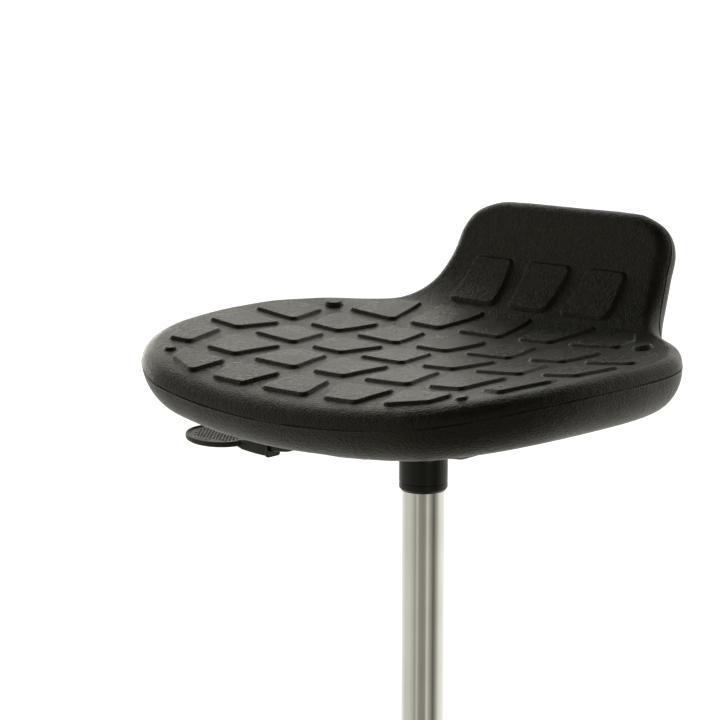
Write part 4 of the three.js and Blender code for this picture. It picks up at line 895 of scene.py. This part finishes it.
def lower_skin(points, inset):
    out = -rim_share(points[:, 1]) * (UPPER_RIM + LOWER_RIM * quarter(inset, LOWER_ROUND))
    x, along = at_moulding_line(points, inset) if inset.max() < 0.001 else points.T
    placed = seat_point(x, along, out)
    gap = boss_gap(placed[:, 0], placed[:, 1])
    rise = np.maximum(gap, 0) * FLANK_RISE / FLANK_WIDTH + np.maximum(gap - FLANK_WIDTH, 0) * 4
    foot = 1.2 * (1 - quarter(np.clip(-gap, 0, 2.5), 2.5))
    block = FOAM_BOTTOM + rise + foot * (gap > -2.5)
    lowered = np.maximum(smooth_least(placed[:, 2], block, 5.0), FOAM_BOTTOM) - placed[:, 2]
    placed[:, 2] += lowered * (gap < 40) * fade_in(inset, 0.0, 3.0)
    return placed


def underside(x, along):
    return seat_point(x, along, -rim_share(along) * (UPPER_RIM + LOWER_RIM))


def boss_loops():
    """Loops on plan along the foot and flare of the block, carried to places across and along the seat."""
    loops = []
    for grow in (-5, -2.5, -1.4, -0.5, 0.3, 1.6, 3.4, 5.5, 8, 11, 15):
        plan = evenly(rounded_rectangle(*BOSS)(grow), 4.0)
        along = plan[:, 1].copy()
        for _ in range(30):
            along += 0.8 * (plan[:, 1] + AXIS_Y - underside(plan[:, 0], along)[:, 1])
        loops.append(columns(plan[:, 0], along))
    return loops


def moulded_seat():
    upper_insets = [0, 0.006, 0.024, 0.06, 0.2, 0.5, 1.0, 1.7, 2.6, 3.7, 5.0, 6.4, 8.0, 9.6]
    lower_insets = [0, 0.02, 0.2, 0.5, 1.1, 2.0, 3.2, 4.8, 6.8, 9.2, 12.0]
    loops = [loop(grow) for loop, _, _ in RAISED for grow in PAD_LOOPS]

    def clear_of_pads(points):
        least = np.full(len(points), 1e9)
        for _, distance, _ in RAISED:
            least = np.minimum(least, np.abs(distance(points) - 0.3))
        return least > 4.2

    def clear_of_boss(points):
        x, y, _ = underside(points[:, 0], points[:, 1]).T
        gap = boss_gap(x, y)
        return (gap < -7) | (gap > 17)

    inner = inset_ring(SEAT_OUTLINE, upper_insets[-1])
    loops = [loop for loop in loops if inside(loop, inner).all()]
    top = skinned_side(SEAT_OUTLINE, upper_insets, loops, SEAT_MESH, upper_skin, clear_of_pads)
    low = skinned_side(SEAT_OUTLINE, lower_insets, boss_loops(), SEAT_MESH, lower_skin, clear_of_boss)
    seat = closed_piece("moulded_seat", top, low)
    width, depth, corner = BOARD_SIZE
    pocket = plate_piece("pocket", rounded_rectangle(width + 2 * GAP, depth + 2 * GAP, corner + GAP), [],
                         FOAM_BOTTOM - 2, BOARD_TOP + GAP, 0.4)
    carve(seat, pocket, stiffener_slot())
    rub(seat)
    dress(seat, FOAM, "seat", "foam", "seat_foam", angle=50)


def stiffener_slot():
    """The slot for the steel strip: its box shape is taken from the strip itself, grown by a clearance."""
    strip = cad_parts["back_stiffener"]
    slot = link_object("slot", strip.data.copy())
    with Edited(slot.data) as shape:
        bmesh.ops.transform(shape, matrix=strip.matrix_world, verts=shape.verts)
        bmesh.ops.remove_doubles(shape, verts=shape.verts, dist=1e-6)
        shape.normal_update()
        for vertex in shape.verts:
            distinct = []
            for face in vertex.link_faces:
                if all(face.normal.dot(other) < 0.999 for other in distinct):
                    distinct.append(face.normal)
            vertex.co += sum(distinct, Vector()) * GAP * MM * 0.8
    return slot


def rub(seat):
    """Marks the tops of the pads, where clothes polish the skin."""
    x, y, z = places_of(seat).T
    along = np.interp(y, centre_y, centre_along)
    for _ in range(4):
        slope = np.interp(along, centre_along, centre_slope)
        gap_y = y - np.interp(along, centre_along, centre_y)
        gap_z = z - np.interp(along, centre_along, centre_z)
        along += gap_y * np.cos(slope) + gap_z * np.sin(slope)
    out = z - seat_point(x, along, np.zeros(len(x)))[:, 2]
    worn = relief(columns(x, along))[1] * (out > -2)
    layer = seat.data.attributes.new("rubbed", "FLOAT", "POINT")
    layer.data.foreach_set("value", worn.astype(np.float32))


moulded_seat()


# The mechanism under the seat

HOUSING_LOW, HOUSING_HIGH = COLLAR + 24, COLLAR + 48.4
PLATE_LOW, PLATE_HIGH = COLLAR + 48.7, COLLAR + 51.7
HOUSING_ENDS = (-39.0, 20.0)
HOUSING_HALF = (21.5, 19.0)  # half widths over the walls and between them
COLLAR_RADIUS, PIN_RADIUS = 16.0, 3.0
PLATE_SIZE = (184, 146, 16)  # across, deep, and the corners' radius
PIVOT = (-26.0, COLLAR + 38.0)  # the lever's pin, in X and Z
BOLT_SPREAD = (160.0, 120.0)
BOLT_PLACES = [(sx * BOLT_SPREAD[0] / 2, sy * BOLT_SPREAD[1] / 2) for sx in (-1, 1) for sy in (-1, 1)]


def carried(finish, *nodes):
    """Carried-over CAD nodes take a finish that suits them."""
    for node in nodes:
        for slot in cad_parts[node].material_slots:
            slot.material = finish


def swivel_collar():
    groove = COLLAR_RADIUS - 0.25
    wall = [(14.0, 0, 0), (14.6, 0, 0.2), (COLLAR_RADIUS, 1.9, 1.6), (COLLAR_RADIUS, 5.2, 0), (groove, 5.5, 0.1),
            (groove, 5.9, 0.1), (COLLAR_RADIUS, 6.2, 0), (COLLAR_RADIUS, 30, 0.5), (13.5, 30, 0.3)]
    collar = turned_piece("swivel_collar", [(radius, COLLAR + up, soft) for radius, up, soft in wall], steps=5)
    dress(collar, COATED_STEEL, "seat", "black_steel", "cone_hub")
    weld = link_object("collar_weld", bpy.data.meshes.new("weld_bead"))
    with Edited(weld.data) as shape:
        bmesh.ops.create_icosphere(shape, subdivisions=1, radius=1)
        for vertex in shape.verts:
            x, y, z = vertex.co
            vertex.co = Vector((17.2 + 1.9 * x, 1.5 * y, 1.7 * z - 0.2)) * MM + Vector((0, AXIS_Y, HOUSING_LOW)) * MM
    about_column(weld, 54, COATED_STEEL)
    dress(weld, COATED_STEEL, "seat", "black_steel", angle=80)


def lever_housing():
    """A channel folded from steel sheet, open at its top and ends."""
    outer, inner = HOUSING_HALF
    section = softened([(-outer, HOUSING_LOW, 4.2), (outer, HOUSING_LOW, 4.2), (outer, HOUSING_HIGH, 0.5),
                        (inner, HOUSING_HIGH, 0.5), (inner, HOUSING_LOW + 2.5, 1.8), (-inner, HOUSING_LOW + 2.5, 1.8),
                        (-inner, HOUSING_HIGH, 0.5), (-outer, HOUSING_HIGH, 0.5)], 5)
    points = [(x, AXIS_Y + across, z) for x in HOUSING_ENDS for across, z in section]
    channel = piece_from("lever_channel", points, capped_faces(len(section), 2))
    hub_hole = turned_piece("hub_hole", rod_profile(COLLAR_RADIUS + GAP, HOUSING_LOW - 3, HOUSING_LOW + 6), 72)
    pin_hole = piece_across("pin_hole", rod_profile(PIN_RADIUS + GAP, -30, 30), 40, PIVOT)
    carve(channel, hub_hole, pin_hole)
    edges = channel.modifiers.new("edges", "BEVEL")
    edges.width, edges.segments, edges.limit_method, edges.angle_limit = 0.00035, 2, "ANGLE", math.radians(50)
    settle_modifiers(channel)
    dress(channel, COATED_STEEL, "seat", "black_steel", "lever_housing")


def pivot_pin():
    pin = piece_across("lever_pin", [
        (0, -24.3, 0), (4.8, -24.3, 1.1), (4.8, -21.8, 0.3), (PIN_RADIUS, -21.8, 0), (PIN_RADIUS, 23.4, 0.5),
        (2.2, 24, 0.3), (0, 24, 0)], 56, PIVOT)
    dress(pin, ZINC, "seat", "zinc", "pivot_pin")


def mounting_plate():
    holes = [circle(3.5, 32, place) for place in BOLT_PLACES]
    plate = plate_piece("seat_plate", rounded_rectangle(*PLATE_SIZE, 10), [*holes, circle(13, 56)], PLATE_LOW,
                        PLATE_HIGH, 0.5)
    dress(plate, COATED_STEEL, "seat", "black_steel", "mounting_plate")


def seat_board():
    board = plate_piece("plywood_board", rounded_rectangle(*BOARD_SIZE, 8), [], FOAM_BOTTOM, BOARD_TOP, 0.5)
    flange_low = BOARD_TOP - 1.9
    nut_seat = [(0, FOAM_BOTTOM - 2, 0), (4.8, FOAM_BOTTOM - 2, 0), (4.8, flange_low, 0), (9.3, flange_low, 0),
                (9.3, BOARD_TOP + 2, 0), (0, BOARD_TOP + 2, 0)]
    carve(board, *(turned_piece("nut_seat", nut_seat, 40, (x, AXIS_Y + y)) for x, y in BOLT_PLACES))
    dress(board, PLYWOOD, "seat", "plywood", "seat_board")


def plate_bolts():
    """Four button-headed screws with hexagon sockets, and their washers."""
    washer_low = COLLAR + 47.2
    head_high, head_low = washer_low - GAP, washer_low - GAP - 4
    screw = turned_piece("plate_screws", [
        (0, head_low + 0.1, 0), (2.4, head_low, 0), (5.2, head_low + 1.0, 1.6), (6, head_high - 0.6, 0.5),
        (5.9, head_high, 0.1), (2.7, head_high, 0), (2.7, COLLAR + 60.4, 0.4), (2.1, COLLAR + 61, 0),
        (0, COLLAR + 61, 0)], 40, (0, 0))
    points = [(x, y, z) for z in (head_low - 2, head_low + 2.2) for x, y in circle(2.3, 6)(0)]
    key = piece_from("hexagon", points, capped_faces(6, 2))
    carve(screw, key)
    spread = dict(Centre=AXIS_POINT, Length=BOLT_SPREAD[0] * MM, Width=BOLT_SPREAD[1] * MM, Along=2, Across=2,
                  Oval_Length=1.0, Oval_Width=1.0)
    patterned(screw, GRID_COPIES, Finish=ZINC, **spread)
    dress(screw, ZINC, "seat", "zinc", *numbered("plate_screw", 4))
    washer = turned_piece("plate_washers", washer_profile(3, 7, washer_low, washer_low + 1.2, 0.3), 48, (0, 0), 3)
    patterned(washer, GRID_COPIES, Finish=ZINC, **spread)
    dress(washer, ZINC, "seat", "zinc", *numbered("plate_washer", 4))


ARM_TAIL, ARM_ELBOW, ARM_KNEE = (-157.0, COLLAR + 5.4), (-120.0, COLLAR + 9.5), (-50.0, COLLAR + 35.5)
ARM_FINGER = (6.0, COLLAR + 37.0)
ARM_SECTION, ARM_EDGE = (9.0, 5.0), 1.1  # width and height, and the rounding of its edges


def lever_arm():
    """A flat steel arm, bent twice, on a boss that turns on the pin."""
    path = softened([(*ARM_FINGER, 0), (*PIVOT, 6), (*ARM_KNEE, 16), (*ARM_ELBOW, 22), (*ARM_TAIL, 0)], 8)
    arm = swept_piece("lever_bar", path, rounded_rectangle(*ARM_SECTION, ARM_EDGE, 4)(0))
    half = HOUSING_HALF[1] - GAP
    boss = piece_across("boss", [(0, -half, 0), (6, -half, 0.6), (6, half, 0.6), (0, half, 0)], 56, PIVOT, 3)
    bore = piece_across("bore", rod_profile(PIN_RADIUS + GAP, -24, 24), 40, PIVOT)
    carve(arm, boss, operation="UNION")
    carve(arm, bore)
    dress(arm, COATED_STEEL, "lever", "black_steel", "lever_arm")


PADDLE_MIDDLE = (-190.0, COLLAR + 8.8)  # middle of the paddle's face, in X and Z
PADDLE_HALF = (28.5, 19.0)
SLEEVE_HEIGHTS = (COLLAR + 1.4, COLLAR + 11.7)
PADDLE_LEAN = math.radians(7.8)  # the face leans to the front


def on_paddle(points):
    """Points about the middle of the paddle's face, with Z up from the face, carried to their place."""
    x, y, z = np.asarray(points, float).T
    c, s = math.cos(PADDLE_LEAN), math.sin(PADDLE_LEAN)
    return columns(PADDLE_MIDDLE[0] + x, AXIS_Y + y * c - z * s, PADDLE_MIDDLE[1] + y * s + z * c)


def lever_paddle():
    """The oval finger paddle with its rim, and the sleeve that is pushed over the arm's end."""
    stations = [  # growth and height of the paddle's rings, from its underside over the rim to its face
        (-18.9, -3), (-12, -3), (-5, -3), (-1.6, -3), (-0.7, -2.8), (-0.2, -2.35), (0, -1.7), (0, 0.1), (-0.2, 0.6),
        (-0.6, 0.9), (-1.1, 1.0), (-1.6, 0.9), (-2.1, 0.55), (-2.6, 0.15), (-3.3, 0), (-7, 0), (-12, 0), (-18.9, 0)]
    around = 112
    angles = np.arange(around) * math.tau / around
    rings = [columns((PADDLE_HALF[0] + grow) * np.cos(angles), (PADDLE_HALF[1] + grow) * np.sin(angles),
                     np.full(around, height)) for grow, height in stations]
    paddle = piece_from("lever_paddle", on_paddle(np.vstack(rings)), capped_faces(around, len(rings)))
    stations = [  # place along the sleeve, how far its underside and top lie off their main heights, half width
        (-170, 3.4, -3.6, 3.6), (-169.2, 3.0, -3.1, 4.8), (-167, 2.4, -2.5, 5.6), (-162, 1.2, -1.8, 6),
        (-154, 0.5, -0.9, 6), (-146, 0.1, -0.2, 6), (-139.2, 0, 0, 6), (-138.6, 0, 0, 6), (-138.3, -0.45, 0.45, 6.45),
        (-137.9, -0.6, 0.6, 6.6), (-136.4, -0.6, 0.6, 6.6), (-136, -0.35, 0.35, 6.35)]
    rings = []
    for x, up, over, half in stations:
        bottom, top = SLEEVE_HEIGHTS[0] + up, SLEEVE_HEIGHTS[1] + over
        section = rounded_rectangle(2 * half, top - bottom, 1.8, 5)(0)
        rings.append(columns(np.full(len(section), x), AXIS_Y + section[:, 0],
                             (bottom + top) / 2 + section[:, 1]))
    sleeve = piece_from("sleeve", np.vstack(rings), capped_faces(len(rings[0]), len(rings)))
    slope = np.array(ARM_ELBOW) - np.array(ARM_TAIL)
    slope /= np.linalg.norm(slope)
    slot = swept_piece("arm_slot", [np.array(ARM_TAIL) - slope * GAP, np.array(ARM_TAIL) + slope * 30],
                       rounded_rectangle(ARM_SECTION[0] + 2 * GAP, ARM_SECTION[1] + 2 * GAP, ARM_EDGE, 4)(0))
    carve(paddle, sleeve, operation="UNION")
    carve(paddle, slot, dimples())
    dress(paddle, PLASTIC, "lever", "plastic", "lever_grip")


def dimples():
    """Small round dimples in the paddle's face, in staggered rows."""
    pits = []
    for shift in (0.0, 0.5):
        points, faces = turned_points([(0, -1.1), (0.8, -1.0), (1.1, 0.4), (0, 0.4)], 8)
        pit = piece_from("pits", points, faces)
        step = (3.1, 4.4)
        patterned(pit, GRID_COPIES, Centre=(shift * step[0] * MM, shift * step[1] * MM, 0.0),
                  Length=step[0] * 14 * MM, Width=step[1] * 6 * MM, Along=15, Across=7,
                  Oval_Length=0.0445, Oval_Width=0.0265, Finish=PLASTIC)
        pit.data.vertices.foreach_set("co", (on_paddle(places_of(pit)) * MM).ravel())
        pits.append(pit)
    merged = link_object("dimples", bpy.data.meshes.new("dimples"))
    with Edited(merged.data) as shape:
        for pit in pits:
            shape.from_mesh(pit.data)
            bpy.data.objects.remove(pit)
    return merged


swivel_collar()
lever_housing()
pivot_pin()
mounting_plate()
seat_board()
plate_bolts()
lever_arm()
lever_paddle()


# The column

TUBE_RADIUS, NECK_RADIUS, NECK_TOP = 25.0, 24.1, 108.0  # the outer tube, its tapered foot, and where that ends


def spring_cylinder():
    low, high = heights("pressure_cylinder")
    cylinder = turned_piece("spring_cylinder", [
        (9, low, 0.2), (12.6, low, 0), (13.7, low + 0.5, 0.6), (14, low + 1.6, 0.5), (14, high - 32, 0),
        (13.2, high, 0.5), (4.3, high, 0.3), (4.3, high - 6, 0), (11.7, high - 6, 0), (12.5, high - 32, 0),
        (12.5, low + 2, 0), (9, low + 2, 0.2)], 144)
    dress(cylinder, CHROME, "seat", "chrome", "pressure_cylinder")
    pin_low, pin_high = heights("release_pin")
    pin = turned_piece("release_button", [
        (0, pin_low, 0), (4, pin_low, 0.3), (4, pin_high - 1, 0.8), (2.4, pin_high, 0.6), (0, pin_high, 0)], 48)
    dress(pin, ZINC, "release_valve", "zinc", "release_pin")


def fixed_column():
    low, high = heights("outer_tube")
    tube = turned_piece("column_tube", [
        (7, low, 0.3), (NECK_RADIUS, low, 1.6), (TUBE_RADIUS, NECK_TOP, 0), (TUBE_RADIUS, high, 0.4),
        (23.5, high, 0.4), (23.5, NECK_TOP, 0), (22.6, low + 4, 1.0), (7, low + 4, 0.3)], 144)
    dress(tube, CHROME, "base", "chrome", "outer_tube")
    low, high = heights("column_cap")
    cap = turned_piece("column_cap_ring", [
        (25.3, low, 0.2), (26.4, low, 0.3), (27.2, low + 1.2, 0.8), (27.2, high - 2.4, 2.4), (24.2, high, 1.4),
        (16.2, high, 0.2), (15.6, high - 0.9, 0.5), (14.6, high - 1.0, 0.2), (14.6, high - 2, 0.2),
        (25.3, high - 2, 0)], 120)
    dress(cap, PLASTIC, "base", "plastic", "column_cap")


def rod_end():
    low, high = heights("bottom_washer")
    washer = turned_piece("end_washer", washer_profile(4.3, 12, low, high, 0.35), 72, steps=3)
    dress(washer, ZINC, "base", "zinc", "bottom_washer")
    low, high = heights("piston_rod")
    clip_low, clip_high = heights("retaining_clip")
    clip = turned_piece("end_clip", washer_profile(3.5, 8, clip_low, clip_high, 0.3), 72, steps=3)
    mouth = piece_from("mouth", [(x, AXIS_Y + y, z) for z in (clip_low - 2, clip_high + 2)
                                 for x, y in ((0, -3.5), (16, -3.5), (16, 3.5), (0, 3.5))],
                       capped_faces(4, 2))
    carve(clip, mouth)
    dress(clip, ZINC, "spring_rod", "zinc", "retaining_clip")
    shoulder_low = heights("rubber_bumper")[0] - GAP
    piston_low = heights("piston")[0]
    rod = turned_piece("piston_rod_fine", [
        (0, low, 0), (4, low, 0.8), (4, clip_low - GAP, 0.1), (3.2, clip_low - GAP, 0), (3.2, clip_high + GAP, 0),
        (4, clip_high + GAP, 0.1), (4, shoulder_low, 0), (5, shoulder_low, 0.3), (5, piston_low - GAP, 0.3),
        (4, piston_low - GAP, 0), (4, high, 0.5), (0, high, 0)], 72)
    dress(rod, CHROME, "spring_rod", "chrome", "piston_rod")
    ball_low, ball_high = heights("bearing_ball_1")
    balls = link_object("bearing_balls", bpy.data.meshes.new("bearing_balls"))
    with Edited(balls.data) as shape:
        bmesh.ops.create_uvsphere(shape, u_segments=24, v_segments=14, radius=2 * MM)
        bmesh.ops.translate(shape, vec=Vector((10, AXIS_Y, (ball_low + ball_high) / 2)) * MM, verts=shape.verts)
    about_column(balls, 6, CHROME)
    dress(balls, CHROME, "bearing_cage", "chrome", *numbered("bearing_ball", 6), angle=80)


spring_cylinder()
fixed_column()
rod_end()


# The five-armed base and its glides

HUB_RADIUS, HUB_LOW, HUB_HIGH = 36.0, 49.0, 106.0
ROOT_REACH, TIP_REACH, TIP_RADIUS, ROOT_HALF = 16.0, 294.0, 16.0, 23.0
ROOT_HEIGHTS, TIP_HEIGHTS = (100, 52), (40, 20)  # an arm's upper and lower face
GLIDE_REACH = 285.0
BASE_MESH = 5.5  # spacing of the points away from edges


def arm_share(reach):
    return np.clip((reach - ROOT_REACH) / (TIP_REACH - ROOT_REACH), 0, 1)


def arm_half(reach):
    return ROOT_HALF + (TIP_RADIUS - ROOT_HALF) * arm_share(reach)


def arm_heights(reach):
    fall = np.sin(arm_share(reach) * math.pi / 2) ** 0.8
    return tuple(root + (tip - root) * fall for root, tip in zip(ROOT_HEIGHTS, TIP_HEIGHTS))


def turned_about(points, i):
    """Places carried from the first arm to another."""
    c, s = math.cos(math.tau * i / 5), math.sin(math.tau * i / 5)
    return columns(points[:, 0] * c - points[:, 1] * s, points[:, 0] * s + points[:, 1] * c)


def base_outline():
    """The star on plan about the column's axis: straight tapered arms, round tips and hollow corners."""
    valley = next(reach for reach in np.arange(20, 60, 0.05)
                  if arm_half(reach) <= reach * math.tan(math.pi / 5)) / math.cos(math.pi / 5)
    sector = [(valley * math.sin(-math.pi / 5), -valley * math.cos(math.pi / 5), 15.0)]
    for angle in np.linspace(-90, 90, 19):
        a = math.radians(angle)
        sector.append((TIP_RADIUS * math.sin(a), -TIP_REACH - TIP_RADIUS * math.cos(a), 0))
    sector = np.array(sector)
    corners = np.vstack([np.c_[turned_about(sector[:, :2], i), sector[:, 2]] for i in range(5)])
    return evenly(softened(corners.tolist(), 8), 2.4)


def nearest_arm(points):
    """Reach along the nearest arm, and how far to its side, of places about the column's axis."""
    angle = np.arctan2(points[:, 0], -points[:, 1])
    own = np.round(angle / (math.tau / 5)) * (math.tau / 5)
    radius = np.hypot(*points.T)
    return radius * np.cos(angle - own), radius * np.sin(angle - own)


def base_section(points, inset):
    reach, _ = nearest_arm(points)
    top, bottom = arm_heights(np.maximum(reach, ROOT_REACH))
    share = 1 - np.clip(inset / arm_half(reach), 0, 1)
    swell = (1 - share ** 3.2) ** (1 / 3.2)
    return (top + bottom) / 2, (top - bottom) / 2 * swell, reach


def hub_fall(radius, rounding):
    """How far the hub's face falls away at its rounded edge and beyond it."""
    edge = np.clip((radius - HUB_RADIUS + rounding) / rounding, 0, 1)
    return rounding * (1 - np.sqrt(np.maximum(1 - edge ** 2, 0))) + np.maximum(radius - HUB_RADIUS, 0) * 3


def base_upper(points, inset):
    middle, swell, _ = base_section(points, inset)
    radius = np.hypot(*points.T)
    hub = HUB_HIGH - hub_fall(radius, 5)
    raised = -smooth_least(-(middle + swell), -hub, 7.0) - middle - swell
    height = middle + swell + np.where(radius < 60, raised, 0) * fade_in(inset, 0.0, 2.2)
    return columns(points[:, 0], points[:, 1] + AXIS_Y, np.minimum(height, HUB_HIGH))


CHANNEL = (60.0, 255.0)  # the hollow under an arm, along it
RIBS = (105.0, 155.0, 205.0)


def channel_depth(points):
    """How far each place lies inside the hollow's edge."""
    reach, aside = nearest_arm(points)
    return np.minimum.reduce([arm_half(reach) - 4 - np.abs(aside), reach - CHANNEL[0], CHANNEL[1] - reach])


def channel_outline(half_short, end_short):
    start, end = CHANNEL[0] + end_short, CHANNEL[1] - end_short
    return softened([(-arm_half(start) + half_short, -start, 5), (-arm_half(end) + half_short, -end, 5),
                     (arm_half(end) - half_short, -end, 5), (arm_half(start) - half_short, -start, 5)], 5)


def base_lower(points, inset):
    middle, swell, reach = base_section(points, inset)
    radius = np.hypot(*points.T)
    hub = HUB_LOW + hub_fall(radius, 4)
    lowered = smooth_least(middle - swell, hub, 5.0) - middle + swell
    height = middle - swell + np.where(radius < 60, lowered, 0) * fade_in(inset, 0.0, 2.2)
    deep = channel_depth(points)
    rib_gap = np.minimum.reduce([np.abs(reach - rib) for rib in RIBS])
    hollow = fade_in(deep, 0.0, 4.0) * (0.55 + 0.45 * fade_in(rib_gap, 1.2, 3.2))
    roof = arm_heights(reach)[0] - 5
    height = np.where(deep > 0, height + (roof - height) * hollow, height)
    return columns(points[:, 0], points[:, 1] + AXIS_Y, height)


def five_star_base():
    outline = base_outline()
    upper_insets = [0, 0.15, 0.4, 0.8, 1.4, 2.2, 3.4, 5.0, 7.0, 9.5]
    lower_insets = [0, 0.15, 0.4, 0.8, 1.4, 2.4]
    hub_rings = [evenly(circle(radius, 90)(0), 2.6)
                 for radius in (24, 28, 31, 32.5, 34, 35.2, 36, 37, 38.5, 40.5, 43, 47)]
    inner = inset_ring(outline, upper_insets[-1])
    top_loops = [ring for ring in hub_rings if inside(ring, inner).all()]
    top = skinned_side(outline, upper_insets, top_loops, BASE_MESH, base_upper,
                       lambda points: np.hypot(*points.T) > 50)
    channels = [turned_about(evenly(channel_outline(4 + step, step), 4.0), i)
                for i in range(5) for step in (0.0, 0.9, 2.0, 3.1, 4.0, 5.2)]
    rib_lines = []
    for i in range(5):
        for rib in RIBS:
            for shift in (-3.2, -2.2, -1.2, 1.2, 2.2, 3.2):
                half = arm_half(rib) - 10.2
                across = np.linspace(-half, half, 5)
                rib_lines.append(turned_about(columns(across, np.full(5, -(rib + shift))), i))
    inner_low = inset_ring(outline, lower_insets[-1])
    low_rings = [ring for ring in hub_rings if inside(ring, inner_low).all()]

    def clear_below(points):
        deep = channel_depth(points)
        return (np.hypot(*points.T) > 50) & ((deep < -1.5) | (deep > 6.5))

    low = skinned_side(outline, lower_insets, channels + low_rings + rib_lines, BASE_MESH, base_lower, clear_below)
    base = closed_piece("five_star_base", top, low)
    bore = turned_piece("bore", [(0, 45, 0), (NECK_RADIUS + GAP, 45, 0), (TUBE_RADIUS + GAP, NECK_TOP, 0),
                                 (0, NECK_TOP, 0)], 96)
    stem = turned_piece("stem_hole", rod_profile(5 + GAP, 10, 34 + GAP), 40, (0, AXIS_Y - GLIDE_REACH))
    about_column(stem, 5, ZINC)
    carve(base, bore, stem)
    dress(base, ALUMINIUM, "base", "aluminium", "base_star", angle=40)


def glides():
    """Levelling glides: a swivelling plastic foot on a threaded stem with a locking nut."""
    at_tip = (0, AXIS_Y - GLIDE_REACH)
    foot = turned_piece("glide_feet", [
        (0, 1.2, 0), (15, 1.2, 0.6), (16.5, 0, 0.5), (20.4, 0, 0.8), (22, 1.8, 1.4), (22, 4, 1.6), (18.4, 8.6, 3),
        (8.2, 11, 1.6), (8, 14.4, 0.6), (5.3, 14.4, 0.3), (5.3, 5, 0), (0, 5, 0)], 64, at_tip)
    about_column(foot, 5, PLASTIC)
    dress(foot, PLASTIC, "base", "plastic", *numbered("glide_foot", 5))
    turns, pitch = 22, 1.28
    thread = [(0, 5.3, 0)]
    for low in 5.5 + pitch * np.arange(turns):
        thread += [(4.45, low, 0), (5, low + 0.55, 0), (5, low + 0.75, 0)]
    thread += [(4.4, 34, 0), (0, 34, 0)]
    stem = turned_piece("glide_stems", thread, 36, at_tip)
    radius = 8.5
    stations = [(0.86, 14.7), (0.95, 14.8), (1.0, 15.5), (1.0, 18.9), (0.95, 19.6), (0.86, 19.7)]
    angles = np.arange(48) * math.tau / 48
    hexagon = math.cos(math.pi / 6) / np.cos((angles % (math.pi / 3)) - math.pi / 6)
    rings = [columns(at_tip[0] + np.minimum(radius * hexagon, radius * share) * np.cos(angles),
                     at_tip[1] + np.minimum(radius * hexagon, radius * share) * np.sin(angles),
                     np.full(48, z)) for share, z in stations]
    nut = piece_from("nut", np.vstack(rings), capped_faces(48, len(rings)))
    carve(stem, nut, operation="UNION")
    about_column(stem, 5, ZINC)
    dress(stem, ZINC, "base", "zinc", *numbered("glide_stem", 5))


five_star_base()
glides()


# Pieces inside the stool, which keep their CAD shape

carried(NYLON, "guide_bushing", "ball_cage", "rod_gland")
carried(RUBBER, "rubber_bumper", "piston_seal")
carried(ZINC, "thrust_race_lower", "thrust_race_upper", "inner_tube", "valve_body", "piston", "back_stiffener",
        *numbered("threaded_insert", 4))
